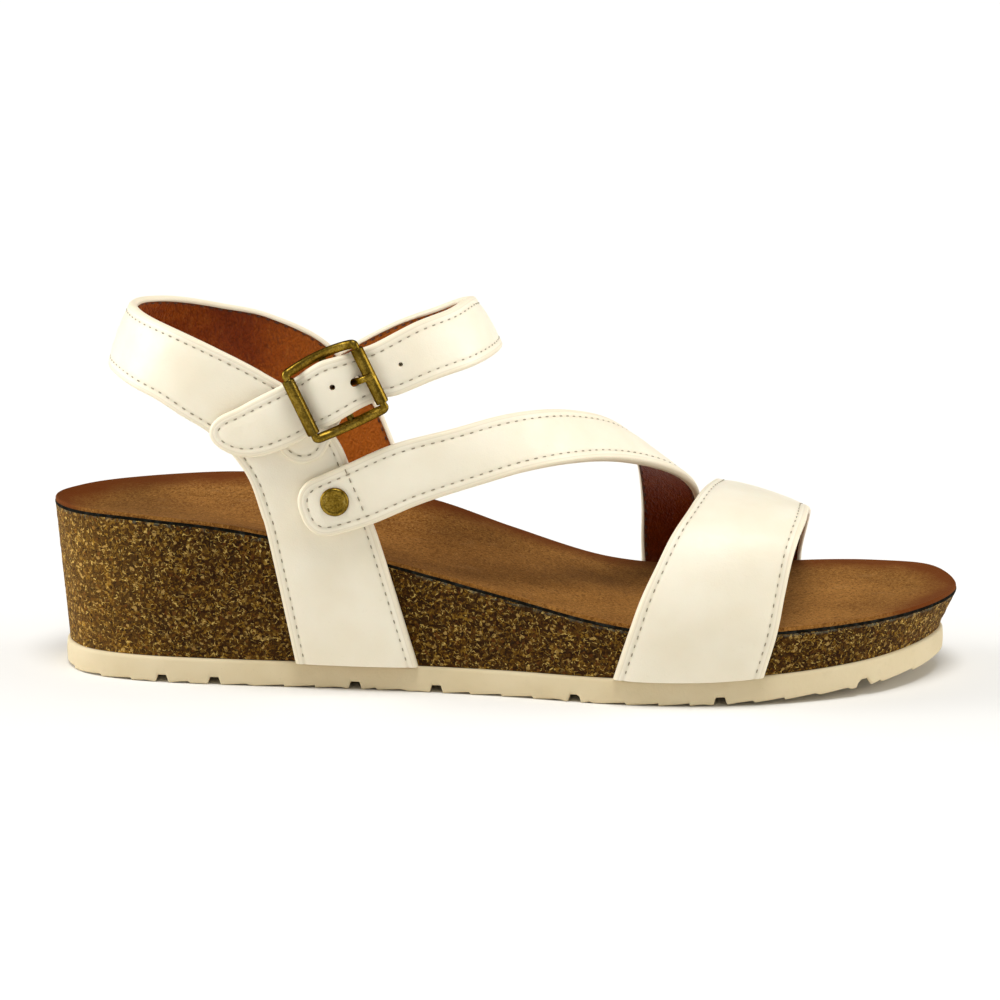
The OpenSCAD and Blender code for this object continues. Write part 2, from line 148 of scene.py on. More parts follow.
def wobble(points, scale, seed):
    """Smooth noise from -1 to 1 at each point, with features about scale mm across."""
    shift = Vector((seed * 17.3, seed * 5.1, seed * 9.7))
    flat = points.reshape(-1, 3) / scale
    values = [noise.noise(Vector(p) + shift) for p in flat]
    return np.array(values).reshape(points.shape[:-1])


# ---- Meshes ----


def drill(mesh, holes):
    """Cuts round holes through a closed mesh. Each hole is [middle, direction, radius]."""
    solid = add_object("drilled", mesh)
    cutters = []
    for middle, direction, radius in holes:
        direction = unit(np.array(direction))
        ends = [np.array(middle) + direction * h for h in (-DRILL_REACH, DRILL_REACH)]
        points, faces = tube(ends, radius, 28, normal=(0.9, 0.1, 0.43))
        cutter_mesh = bpy.data.meshes.new("cutter")
        cutter_mesh.from_pydata((points * MM).tolist(), [], faces)
        weld(cutter_mesh)
        cutter = add_object("cutter", cutter_mesh)
        cutters.append(cutter)
        cut = solid.modifiers.new("hole", "BOOLEAN")
        cut.object = cutter
        cut.solver = "EXACT"
    ready = bpy.context.evaluated_depsgraph_get()
    result = bpy.data.meshes.new_from_object(solid.evaluated_get(ready))
    for unwanted in cutters + [solid]:
        bpy.data.objects.remove(unwanted)
    return result


def weld(mesh):
    """Joins patches where their edges meet and points every face outwards."""
    work = bmesh.new()
    work.from_mesh(mesh)
    bmesh.ops.remove_doubles(work, verts=work.verts, dist=WELD_WITHIN * MM)
    bmesh.ops.dissolve_degenerate(work, edges=work.edges, dist=DROP_BELOW * MM)
    bmesh.ops.recalc_face_normals(work, faces=work.faces)
    work.to_mesh(mesh)
    work.free()


def make_piece(
    name, points, faces, material, body="root", nodes=(), attributes=(), holes=()
):
    """A smooth mesh from points in millimetres, which rides on a CAD body."""
    mesh = bpy.data.meshes.new(name)
    mesh.from_pydata((np.asarray(points, float) * MM).tolist(), [], [tuple(f) for f in faces])
    for key, values in attributes:
        layer = mesh.attributes.new(key, "FLOAT", "POINT")
        layer.data.foreach_set("value", np.asarray(values, np.float32))
    mesh.validate()
    weld(mesh)
    if holes:
        mesh = drill(mesh, holes)
    mesh.name = name
    piece = add_object(name, mesh)
    mesh.materials.clear()
    mesh.materials.append(material)
    mesh.shade_smooth()
    mesh.set_sharp_from_angle(angle=SHARP_OVER)
    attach(piece, body)
    if nodes:
        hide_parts(*nodes)


def grid_faces(rows, cols, start=0, wrap=False):
    """Faces between rows of points that are numbered from start. wrap joins each row's
    end to its start."""
    faces = []
    for i in range(rows - 1):
        for j in range(cols if wrap else cols - 1):
            k = (j + 1) % cols
            a, b = start + i * cols + j, start + i * cols + k
            faces.append((a, b, b + cols, a + cols))
    return faces


def capped(rows, sides):
    """Faces of a tube made of rings of points, with both its ends filled."""
    last = (rows - 1) * sides
    caps = [tuple(range(sides))[::-1], tuple(last + j for j in range(sides))]
    return grid_faces(rows, sides, wrap=True) + caps


def quarter(radius, steps):
    """[inset, drop] round a softened corner, from its top to its side."""
    angles = np.linspace(0, math.pi / 2, steps)
    return [(radius * (1 - math.sin(a)), radius * (1 - math.cos(a))) for a in angles]


class Mesh:
    """Points and faces collected from several patches."""

    def __init__(self):
        self.points, self.faces, self.count = [], [], 0

    def add(self, points, faces):
        points = np.asarray(points, float).reshape(-1, 3)
        self.points.append(points)
        self.faces += [tuple(k + self.count for k in f) for f in faces]
        self.count += len(points)

    def all_points(self):
        return np.vstack(self.points)


def tube(path, radius, sides=16, closed=False, flat=1.0, normal=(0, 0, 1)):
    """A swept tube. flat is the height of its section, along normal, over its width."""
    path = np.asarray(path, float)
    ahead = np.roll(path, -1, 0) if closed else np.vstack([path[1:], path[-1:] * 2 - path[-2:-1]])
    behind = np.roll(path, 1, 0) if closed else np.vstack([path[:1] * 2 - path[1:2], path[:-1]])
    along = unit(ahead - behind)
    side = unit(np.cross(along, np.asarray(normal, float)))
    lift = np.cross(side, along) * np.broadcast_to(flat, (len(path),))[:, None]
    angles = turns(sides)[:, None]
    ring = side[:, None] * np.cos(angles) + lift[:, None] * np.sin(angles)
    radius = np.broadcast_to(np.asarray(radius, float), (len(path),))
    points = path[:, None] + ring * radius[:, None, None]
    if not closed:
        return points.reshape(-1, 3), capped(len(path), sides)
    last = (len(path) - 1) * sides
    seam = [(last + j, last + (j + 1) % sides, (j + 1) % sides, j) for j in range(sides)]
    return points.reshape(-1, 3), grid_faces(len(path), sides, wrap=True) + seam


def lathe(profile, sides=96):
    """Turns a closed [radius, height] profile about Z. Radius 0 closes on the axis."""
    points = [[(r * math.cos(a), r * math.sin(a), h) for a in turns(sides)] for r, h in profile]
    return np.array(points).reshape(-1, 3), grid_faces(len(profile), sides, wrap=True)


# ---- Materials ----


class Shader:
    """A material under construction: short calls that add a node and link it."""

    def __init__(self, name):
        self.material = bpy.data.materials.new(name)
        self.material.use_nodes = True
        self.tree = self.material.node_tree
        self.shader = self.tree.nodes["Principled BSDF"]
        texture = self.tree.nodes.new("ShaderNodeTexCoord")
        self.place = texture.outputs["Object"]
        self.base = None

    def feed(self, socket, value):
        """Links an output to the socket, or gives it a constant."""
        if isinstance(value, bpy.types.NodeSocket):
            self.tree.links.new(value, socket)
        elif isinstance(value, tuple) and len(socket.default_value) > len(value):
            socket.default_value = (*value, 1)
        else:
            socket.default_value = value

    def node(self, kind, inputs=(), **settings):
        """A new node with its settings, and with its inputs fed as [socket, value]."""
        made = self.tree.nodes.new(kind)
        for key, value in settings.items():
            setattr(made, key, value)
        for key, value in inputs:
            self.feed(made.inputs[key], value)
        return made

    def scaled(self, x, y, z, shift=0.0, warp=0.0, turn=0.0):
        """The place in millimetres times x, y, z. warp bends it by that many millimetres,
        and turn first turns it about Y."""
        place = self.place
        if turn:
            inputs = [("Rotation", (0, turn, 0)), ("Vector", place)]
            place = self.node("ShaderNodeMapping", inputs).outputs["Vector"]
        scale = (x / MM, y / MM, z / MM)
        inputs = [("Scale", scale), ("Location", (shift, shift, shift)), ("Vector", place)]
        place = self.node("ShaderNodeMapping", inputs).outputs["Vector"]
        if not warp:
            return place
        inputs = [("Scale", 0.7), ("Detail", 2), ("Vector", place)]
        swirl = self.node("ShaderNodeTexNoise", inputs).outputs["Color"]
        inputs = [(0, swirl), (1, (2 * warp, 2 * warp, 2 * warp)), (2, place)]
        bend = self.node("ShaderNodeVectorMath", inputs, operation="MULTIPLY_ADD")
        return bend.outputs["Vector"]

    def noise(self, per_mm, detail=3.0, rough=0.55, stretch=(1, 1, 1), **place):
        inputs = [("Scale", per_mm), ("Detail", detail), ("Roughness", rough)]
        inputs.append(("Vector", self.scaled(*stretch, **place)))
        return self.node("ShaderNodeTexNoise", inputs).outputs["Fac"]

    def cells(self, per_mm, stretch=(1, 1, 1), **place):
        inputs = [("Scale", per_mm), ("Vector", self.scaled(*stretch, **place))]
        return self.node("ShaderNodeTexVoronoi", inputs)

    def strands(self, per_mm, width, shift):
        """1 along thin curly lines and 0 elsewhere."""
        field = self.noise(per_mm, 1.5, 0.5, shift=shift, warp=0.6)
        near = width / 3
        return self.ramp(
            field, (0.5 - width, 0.0), (0.5 - near, 1.0), (0.5 + near, 1.0), (0.5 + width, 0.0)
        )

    def ramp(self, value, *stops):
        """A colour or a number that follows value through stops of [value, result]."""
        made = self.node("ShaderNodeValToRGB")
        band = made.color_ramp
        while len(band.elements) < len(stops):
            band.elements.new(0.5)
        for element, (at, colour) in zip(band.elements, stops):
            element.position = at
            element.color = (*colour, 1) if isinstance(colour, tuple) else (*[colour] * 3, 1)
        self.feed(made.inputs["Fac"], value)
        return made.outputs["Color"]

    def mix(self, share, a, b, blend="MIX"):
        inputs = [("Factor", share), ("A", a), ("B", b)]
        made = self.node("ShaderNodeMix", inputs, data_type="RGBA", blend_type=blend)
        return made.outputs["Result"]

    def sum(self, a, b, how="ADD"):
        return self.node("ShaderNodeMath", [(0, a), (1, b)], operation=how).outputs["Value"]

    def attribute(self, name):
        return self.node("ShaderNodeAttribute", attribute_name=name).outputs["Fac"]

    def over(self, colour, value, *stops):
        """Lays colour over the base as much as the ramp of value says."""
        self.base = self.mix(self.ramp(value, *stops), self.base, colour)

    def where(self, colour, name, share, blend="MIX"):
        """Lays colour over the base by a share of the mesh attribute called name."""
        cover = self.sum(self.attribute(name), share, "MULTIPLY")
        self.base = self.mix(cover, self.base, colour, blend)

    def bump(self, height, depth_mm):
        """Adds relief from height, on top of the relief that is there already."""
        normal = self.shader.inputs["Normal"]
        inputs = [("Strength", 1), ("Distance", depth_mm * MM), ("Height", height)]
        if normal.is_linked:
            inputs.append(("Normal", normal.links[0].from_socket))
        self.feed(normal, self.node("ShaderNodeBump", inputs).outputs["Normal"])

    def set(self, **values):
        """Feeds the shader's inputs, named with _ for a space, and gives it the base."""
        self.feed(self.shader.inputs["Base Color"], self.base)
        for key, value in values.items():
            self.feed(self.shader.inputs[key.replace("_", " ")], value)


def upper_leather():
    """Off-white smooth leather: faint pores, soft creases and warmer turned edges, with painted
    shade in the fold of each turned edge and along the sunken stitch line.
    """
    s = Shader("upper_leather")
    s.base = s.ramp(s.noise(0.06, 2), (0.3, (0.84, 0.755, 0.58)), (0.7, (0.89, 0.820, 0.66)))
    inset = s.attribute("inset")
    s.over((0.81, 0.71, 0.50), inset, (0.0, 0.5), (0.10, 0.4), (0.14, 0.0))
    # A thin darker line where the turned edge folds over: painted shade in the fold.
    s.over((0.42, 0.33, 0.20), inset, (0.105, 0.0), (0.125, 0.22), (0.15, 0.0))
    # Darker along the stitch line: painted shade in the sunken stitch groove.
    s.where((0.50, 0.42, 0.28), "seam", 0.25)
    s.over((0.60, 0.50, 0.34), s.noise(0.9, 4, 0.7), (0.62, 0.0), (0.80, 0.22))
    s.set(IOR=1.45, Subsurface_Weight=0.05, Subsurface_Scale=0.0015)
    s.set(Roughness=s.ramp(s.noise(0.5, 4), (0.35, 0.38), (0.65, 0.50)))
    s.bump(s.noise(0.30, 4, 0.6), 0.10)
    s.bump(s.cells(2.4, warp=0.3).outputs["Distance"], 0.022)
    return s.material


def lining_leather():
    """Chestnut lining: pebbled grain with fine creases across the strap, painted shade in the
    creases, along the stitch line and inside the straps, painted highlights on the crease ridges,
    and a painted lit stretch towards the buckle.
    """
    s = Shader("chestnut_lining")
    s.base = s.ramp(
        s.noise(0.09, 3), (0.3, (0.24, 0.036, 0.001)), (0.5, (0.34, 0.064, 0.002)),
        (0.72, (0.46, 0.110, 0.005)),
    )
    grain = s.cells(1.7, (1, 1, 0.6), warp=0.4).outputs["Distance"]
    s.over((0.11, 0.018, 0.001), grain, (0.45, 0.0), (0.80, 0.45))
    creases = s.noise(0.75, 4, 0.65, (1, 1, 0.4), warp=0.6)
    # Darker in the crease valleys: painted shade. Lighter streaks on the crease ridges: painted
    # highlights.
    s.over((0.12, 0.020, 0.001), creases, (0.38, 0.35), (0.48, 0.0))
    s.over((0.60, 0.22, 0.04), creases, (0.56, 0.0), (0.70, 0.30))
    # A lighter orange stretch of lining from the quarter's front to the buckle: painted light.
    s.where((0.66, 0.20, 0.020), "rubbed", 0.55)
    # Darker lining inside the front straps and part of the heel sling: painted shade.
    s.where((0.10, 0.006, 0.0), "deep", 0.65)
    # Dark along the lining's stitch line beside the turned edge: painted shade in the gap.
    s.where((0.03, 0.008, 0.002), "seam", 0.35)
    s.set(Specular_IOR_Level=0.2)
    s.set(Roughness=s.ramp(s.noise(0.8, 3), (0.3, 0.32), (0.7, 0.48)))
    s.bump(grain, -0.20)
    s.bump(creases, 0.28)
    return s.material


def footbed_suede():
    """Brown suede: a short nap, brushed patches and a redder, darker band at the rim."""
    s = Shader("footbed_suede")
    s.base = s.ramp(
        s.noise(0.035, 4, 0.6, (1, 1.6, 1)), (0.32, (0.170, 0.066, 0.011)),
        (0.5, (0.225, 0.092, 0.016)), (0.7, (0.31, 0.135, 0.028)),
    )
    nap = s.noise(1.05, 4, 0.8)
    s.over((0.085, 0.026, 0.002), nap, (0.40, 0.9), (0.53, 0.0))
    fibres = s.noise(1.5, 3, 0.8, shift=4.0)
    s.over((0.46, 0.23, 0.060), fibres, (0.51, 0.0), (0.66, 0.6))
    scuffs = s.noise(0.12, 5, 0.7, (0.5, 1.5, 1), warp=0.8)
    s.over((0.34, 0.18, 0.065), scuffs, (0.58, 0.0), (0.74, 0.35))
    ragged = s.ramp(s.noise(0.10, 3), (0.3, 0.9), (0.7, 1.6))
    rim = s.sum(s.attribute("rim"), ragged, "MULTIPLY")
    s.over((0.120, 0.026, 0.002), rim, (0.0, 0.0), (0.9, 1.0))
    s.set(Roughness=0.95, Specular_IOR_Level=0.1)
    s.set(Sheen_Weight=0.15, Sheen_Roughness=0.5, Sheen_Tint=(0.7, 0.38, 0.12))
    s.bump(nap, 0.22)
    s.bump(s.noise(0.22, 3), 0.3)
    return s.material


def pressed_cork():
    """Cork granules: fine flakes in several browns, curly pale slivers and dark gaps, with
    painted light towards the heel and toe ends.
    """
    s = Shader("pressed_cork")
    flakes = s.cells(1.25, warp=0.6)
    parts = s.node("ShaderNodeSeparateColor", [("Color", flakes.outputs["Color"])])
    shade = parts.outputs["Red"]
    s.base = s.ramp(
        shade, (0.0, (0.020, 0.005, 0.0)), (0.45, (0.043, 0.014, 0.0)),
        (0.78, (0.080, 0.031, 0.0)), (0.94, (0.16, 0.078, 0.005)), (1.0, (0.30, 0.17, 0.026)),
    )
    s.over((0.022, 0.008, 0.0), s.noise(0.16, 4, 0.6), (0.36, 0.6), (0.60, 0.0))
    slivers = (
        (0.45, 0.030, 1.5, 0.85, (0.28, 0.145, 0.012)),
        (0.60, 0.028, 7.7, 0.70, (0.18, 0.085, 0.005)),
        (0.50, 0.022, 13.1, 1.0, (0.60, 0.41, 0.11)),
    )
    for per_mm, width, shift, share, colour in slivers:
        patchy = s.ramp(s.noise(0.9, 2, 0.5, shift=shift + 3), (0.47, 0.0), (0.60, share))
        cover = s.sum(s.strands(per_mm, width, shift), patchy, "MULTIPLY")
        s.base = s.mix(cover, s.base, colour)
    s.over((0.40, 0.25, 0.07), parts.outputs["Green"], (0.93, 0.0), (0.98, 0.8))
    s.over((0.15, 0.045, 0.005), parts.outputs["Blue"], (0.94, 0.0), (0.98, 0.45))
    # Lighter towards the heel end and a little towards the toe end: painted light, where the side
    # lights fall.
    s.where((0.34, 0.205, 0.050), "pale", 0.12)
    s.where((2.1, 1.95, 1.7), "pale", 0.55, "MULTIPLY")
    gaps = s.noise(1.3, 3, 0.6, shift=21.0, warp=0.5)
    s.over((0.014, 0.006, 0.001), gaps, (0.34, 0.9), (0.44, 0.0))
    smear = s.sum(s.attribute("top_edge"), s.sum(s.noise(0.35, 4, 0.7), 0.9, "MULTIPLY"))
    s.over((0.105, 0.115, 0.085), smear, (0.36, 0.8), (0.66, 0.0))
    s.set(Specular_IOR_Level=0.12)
    s.set(Roughness=s.ramp(shade, (0.0, 0.95), (1.0, 0.7)))
    s.bump(gaps, 0.35)
    s.bump(shade, 0.14)
    s.bump(s.noise(0.75, 1.5, 0.5, shift=1.5, warp=0.6), 0.25)
    return s.material


def moulded_rubber():
    """Cream moulded foam rubber with a dry skin, scuffs and tiny pits."""
    s = Shader("moulded_rubber")
    s.base = s.ramp(s.noise(0.05, 3), (0.3, (0.66, 0.540, 0.325)), (0.7, (0.72, 0.605, 0.39)))
    s.over((0.46, 0.35, 0.19), s.noise(1.1, 3, 0.8), (0.64, 0.0), (0.80, 0.45))
    scuffs = s.noise(0.16, 5, 0.7, warp=0.5)
    s.over((0.55, 0.44, 0.27), scuffs, (0.56, 0.0), (0.76, 0.30))
    s.set(Specular_IOR_Level=0.35, Subsurface_Weight=0.04, Subsurface_Scale=0.0015)
    s.set(Roughness=s.ramp(s.noise(0.7, 3), (0.3, 0.55), (0.7, 0.75)))
    s.bump(s.noise(1.0, 4, 0.7), 0.10)
    s.bump(s.noise(0.2, 3), 0.12)
    return s.material


def edge_ink():
    """Black edge paint on the insole board, slightly worn."""
    s = Shader("edge_ink")
    # Lighter patches where the ink is worn.
    rubbed = s.noise(0.6, 4, 0.7)
    s.base = s.ramp(rubbed, (0.45, (0.005, 0.004, 0.002)), (0.80, (0.035, 0.036, 0.030)))
    s.set(Roughness=0.95, Specular_IOR_Level=0.04)
    s.bump(s.noise(1.2, 3), 0.1)
    return s.material


def padding_foam():
    """Pale open foam between the leather and the lining."""
    s = Shader("padding_foam")
    s.base = s.ramp(s.noise(1.5, 3), (0.35, (0.62, 0.56, 0.42)), (0.65, (0.74, 0.69, 0.55)))
    s.set(Roughness=0.9)
    s.bump(s.cells(1.8).outputs["Distance"], 0.15)
    return s.material


def sewing_thread(name, dark, light):
    """Waxed thread: two tones along it and a fine twist."""
    s = Shader(name)
    s.base = s.ramp(s.noise(2.2, 3), (0.35, dark), (0.65, light))
    s.set(Roughness=0.65, Sheen_Weight=0.2)
    s.bump(s.noise(5.0, 2), 0.06)
    return s.material


def antique_brass(name, stretch, turn=0.0):
    """Brass with a brown patina: brighter worn patches, scratches along one way, specks, and
    darker where the mesh marks it with patina and painted shade.
    """
    s = Shader(name)
    patina = s.noise(0.22, 3, 0.55, turn=turn)
    s.base = s.ramp(
        patina, (0.34, (0.17, 0.100, 0.009)), (0.52, (0.25, 0.155, 0.018)),
        (0.70, (0.36, 0.238, 0.036)),
    )
    scratches = s.noise(1.4, 4, 0.7, stretch, turn=turn)
    s.over((0.070, 0.042, 0.005), scratches, (0.36, 0.55), (0.47, 0.0))
    s.over((0.55, 0.41, 0.12), scratches, (0.58, 0.0), (0.72, 0.45))
    specks = s.noise(1.7, 4, 0.85)
    s.over((0.075, 0.045, 0.006), specks, (0.40, 0.75), (0.51, 0.0))
    s.over((0.46, 0.33, 0.075), specks, (0.54, 0.0), (0.66, 0.5))
    # Darker where the mesh marks it: patina with painted shade at the roller ends, painted shade
    # and dark reflection round the frame wire's back and on the centre bar.
    s.where((0.040, 0.023, 0.003), "recess", 0.92)
    s.set(Metallic=1.0, Specular_Tint=(0.42, 0.32, 0.12))
    s.set(Roughness=s.ramp(patina, (0.3, 0.38), (0.7, 0.26)))
    s.bump(scratches, 0.02)
    return s.material


def floor_paint():
    """Plain pale floor."""
    s = Shader("floor_paint")
    s.base = s.ramp(s.noise(0.004, 2), (0.3, (0.845, 0.835, 0.805)), (0.7, (0.855, 0.845, 0.815)))
    s.set(Roughness=0.75, Specular_IOR_Level=0.2)
    return s.material


# The buckle's tilt, which its rollers are brushed along.
TILT = math.radians(25.5)
LEATHER = upper_leather()
LINING = lining_leather()
SUEDE = footbed_suede()
CORK = pressed_cork()
RUBBER = moulded_rubber()
INK = edge_ink()
FOAM = padding_foam()
THREAD = sewing_thread("sewing_thread", (0.20, 0.165, 0.10), (0.36, 0.31, 0.21))
DARK_THREAD = sewing_thread("dark_thread", (0.030, 0.010, 0.004), (0.075, 0.028, 0.010))
BRUSHED_BRASS = antique_brass("brushed_brass", (1, 1, 0.14), TILT)
BRASS = antique_brass("worn_brass", (0.35, 0.5, 0.35))


def make_floor():
    mesh = bpy.data.meshes.new("floor")
    half = 8.0
    corners = [(-half, -half, 0), (half, -half, 0), (half, half, 0), (-half, half, 0)]
    mesh.from_pydata(corners, [], [(0, 1, 2, 3)])
    floor = add_object("floor", mesh)
    mesh.materials.append(floor_paint())


make_camera()
make_studio()
make_floor()

# ---- Sole ----

OUTSOLE_T, TOE_SPRING, LEAN, LEDGE = 7.4, 5.1, 2.7, 0.8
BOARD_T, COVER_T, COVER_ROUND, CUP_DEPTH, GLUE_GAP = 0.9, 1.0, 0.45, 4.0, 0.1
SPRING_START, SPRING_RUN = 37.5, 90
HEEL_BACK, TOE_TIP = [-127.3, 4, 48.2], [128.8, 14, 24.2]
RIM_OUTER = [
    [-124.5, -8, 48.6], [-116, -18, 48.8], [-98, -24.5, 48.4], [-70, -27.5, 45.9],
    [-35, -29.5, 39.1], [0, -34, 31], [30, -40.5, 24.7], [52, -42, 22.2],
    [75, -39, 22.2], [97, -30.5, 22.8], [113, -19, 23.4], [124.5, -3, 23.9],
]
RIM_INNER = [
    [-124.5, 15, 47.8], [-116, 25, 47.8], [-100, 32.5, 48.1], [-76, 34.5, 48.9],
    [-48, 30.5, 47.8], [-22, 28.5, 43], [2, 32, 34], [30, 38.8, 24.2],
    [60, 42.3, 21.7], [85, 41.5, 23.6], [106, 37.2, 25], [122, 30, 25.4],
]
RIM = np.array([HEEL_BACK] + RIM_OUTER + [TOE_TIP] + RIM_INNER[::-1], float)
HALF_LOOP, END_GAP = len(RIM_OUTER) + 1, 0.012
GROOVES_X = (-94, -79, -39, -16, 23, 63.5, 103)
GROOVE_D, GROOVE_TOP, GROOVE_MOUTH = 2.1, 1.15, 2.0
RIB_PITCH, RIB_STEP = 8.8, 0.65


def lean(x):
    """How far the wall's foot is set in from the rim: more towards the heel and the toe."""
    heel, toe = np.maximum(0, (-95 - x) / 33), np.maximum(0, (x - 95) / 33)
    return LEAN + 0.8 * heel**2 + 1.6 * toe**2


def ground(x):
    """Height of the line under the tread, which rises at the toe."""
    return TOE_SPRING * (np.maximum(0, x - SPRING_START) / SPRING_RUN) ** 2


def dish(x):
    """Depth of the footbed below its rim: a cup at the heel, shallower forwards."""
    return np.where(x < -60, CUP_DEPTH, np.maximum(1.2, CUP_DEPTH * (1 - (x + 60) / 170)))


def tread(x):
    """Height of the tread above the ground line: deep grooves, and low saw-tooth ribs."""
    rib = RIB_STEP * (((x + 200) / RIB_PITCH) % 1.0)
    groove = np.zeros_like(x)
    for at in GROOVES_X:
        away = np.abs(x - at)
        groove = np.maximum(groove, GROOVE_D * (1 - smooth(away, GROOVE_TOP, GROOVE_MOUTH)))
        rib = rib * smooth(away, 2.0, 5.0)
    return np.maximum(rib, groove)


def rim_places(rows):
    """Places along the rim from heel to toe, closer together at both ends."""
    t = np.linspace(0, 1, rows)
    eased = 0.55 * t + 0.45 * (1 - np.cos(math.pi * t)) / 2
    return END_GAP + (HALF_LOOP - 2 * END_GAP) * eased


def rim_ring(u):
    """Rim points and inward directions at places u of the outer side, then back along
    the inner side."""
    places = np.concatenate([u, (len(RIM) - u)[::-1]])
    points = on_loop(RIM, places)
    step = on_loop(RIM, places + 0.05) - on_loop(RIM, places - 0.05)
    inward = unit(np.stack([-step[:, 1], step[:, 0], 0 * step[:, 0]], 1))
    return points, inward


def cap_sheet(ring, cols, height):
    """Rows of points across the ring, from its outer side to its inner side. Its edges
    and both its ends lie on the ring, so that it closes the wall."""
    rows = len(ring) // 2
    outer, inner = ring[:rows], ring[rows:][::-1]
    t = (1 - np.cos(np.linspace(0, math.pi, cols))) / 2
    grid = outer[:, None] * (1 - t)[None, :, None] + inner[:, None] * t[None, :, None]
    width = np.linalg.norm((inner - outer)[:, :2], axis=1)
    sheet = height(grid, t, width[:, None])
    sheet[:, 0], sheet[:, -1] = outer, inner
    for end in (0, -1):
        sheet[end, : cols // 2], sheet[end, cols // 2 :] = outer[end], inner[end]
    return sheet


def sole_solid(walls, cols, top_height, low_height):
    """Closed solid: rings of wall points from top to bottom, and a sheet at each end."""
    mesh = Mesh()
    count = len(walls[0])
    mesh.add(np.array(walls), [f[::-1] for f in grid_faces(len(walls), count, wrap=True)])
    rows = count // 2
    faces = grid_faces(rows, cols)
    mesh.add(cap_sheet(walls[0], cols, top_height), [f[::-1] for f in faces])
    mesh.add(cap_sheet(walls[-1], cols, low_height), faces)
    return mesh


def dipped(grid, t, width):
    """The footbed's sheet: the rim's height, dished between, and a low pad behind the toes."""
    x = grid[..., 0]
    bowl = dish(x) * 4 * t * (1 - t) * np.minimum(1, width / 40)
    pad = 1.3 * bump(x, 22, 16) * bump(t, 0.45, 0.2)
    sheet = grid.copy()
    sheet[..., 2] += pad - bowl
    return sheet


def levelled(extra):
    """A level sheet, at a height above the ground line that may depend on x."""

    def height(grid, t, width):
        sheet = grid.copy()
        x = grid[..., 0]
        sheet[..., 2] = ground(x) + extra(x)
        return sheet

    return height


def rim_share(points, ring, reach):
    """0 at the rim and 1 at reach mm or more inside it."""
    plan = points[:, None, :2] - ring[None, ::3, :2]
    return np.clip(np.sqrt((plan**2).sum(-1)).min(1) / reach, 0, 1)


def make_footbed():
    ring, inward = rim_ring(rim_places(260))
    down = np.array([0, 0, 1.0])
    walls = [ring + inward * inset - down * drop for inset, drop in quarter(COVER_ROUND, 5)]
    walls.append(ring - down * COVER_T)
    mesh = sole_solid(walls, 90, dipped, dipped)
    points = mesh.all_points()
    points[:, 2] += 0.12 * wobble(points, 14, 1)
    share = rim_share(points, ring, 11)
    ends = smooth(points[:, 0], 100, 124) + smooth(-points[:, 0], 112, 126)
    side = np.clip(smooth(points[:, 1], -12, 22) + ends, 0.03, 1)
    make_piece(
        "footbed_suede", points, mesh.faces, SUEDE, nodes=["footbed_cover"],
        attributes=[("rim", (1 - share) * side)],
    )


def make_board():
    ring, inward = rim_ring(rim_places(260))
    down = np.array([0, 0, 1.0])
    ragged = 0.22 * wobble(ring, 2.2, 2)[:, None]
    walls = [
        ring - down * COVER_T,
        ring - down * (COVER_T + 0.25) - inward * 0.12,
        ring - down * (COVER_T + 0.6) - inward * 0.10,
        ring - down * (COVER_T + BOARD_T) - down * ragged + inward * 0.02,
    ]
    mesh = sole_solid(walls, 60, dipped, dipped)
    make_piece(
        "insole_board_edge", mesh.all_points(), mesh.faces, INK, nodes=["insole_board"]
    )


def make_cork():
    levels = 44
    ring, inward = rim_ring(rim_places(420))
    down = np.array([0, 0, 1.0])
    top = ring - down * (COVER_T + BOARD_T)
    foot = ring + inward * lean(ring[:, :1])
    foot[:, 2] = ground(ring[:, 0]) + OUTSOLE_T + GLUE_GAP
    walls = []
    for share in np.linspace(0, 1, levels):
        wall = top * (1 - share) + foot * share
        rough = 0.16 * wobble(wall, 1.1, 3) + 0.10 * wobble(wall, 3.2, 4) + 0.08
        fade = min(1.0, 8 * min(share, 1 - share))
        walls.append(wall + inward * (rough * fade)[:, None])
    mesh = sole_solid(walls, 50, dipped, levelled(lambda x: OUTSOLE_T + GLUE_GAP))
    points = mesh.all_points()
    below = np.full(len(points), 1.0)
    drop = top[None, :, 2] - np.array(walls)[..., 2]
    below[: drop.size] = np.clip(drop.reshape(-1) / 4.0, 0, 1)
    # Where the cork wall is painted lighter: towards the heel end, and half as much towards the
    # toe end. Painted light.
    pale = smooth(-points[:, 0], 84, 124) + 0.5 * smooth(points[:, 0], 96, 126)
    make_piece(
        "cork_wedge_wall", points, mesh.faces, CORK, nodes=["cork_wedge"],
        attributes=[("top_edge", below), ("pale", pale)],
    )


def outsole_places():
    """Places along the rim, with extra ones beside each groove and rib."""
    fine = rim_places(1100)
    x = on_loop(RIM, fine)[:, 0]
    edges = []
    for at in GROOVES_X:
        for away in (0, 0.9, 1.15, 1.35, 1.55, 1.75, 2.0, 2.3):
            edges += [at - away, at + away]
    ribs = np.arange(-125, 128, RIB_PITCH / 2)
    teeth = np.arange(-200 + 8 * RIB_PITCH, 128, RIB_PITCH)
    edges += list(ribs) + list(teeth - 0.12) + list(teeth + 0.12)
    picked = np.interp([e for e in edges if x[0] < e < x[-1]], x, fine)
    u = np.unique(np.round(np.concatenate([rim_places(240), picked]), 4))
    return u[np.concatenate([[True], np.diff(u) > 0.004])]


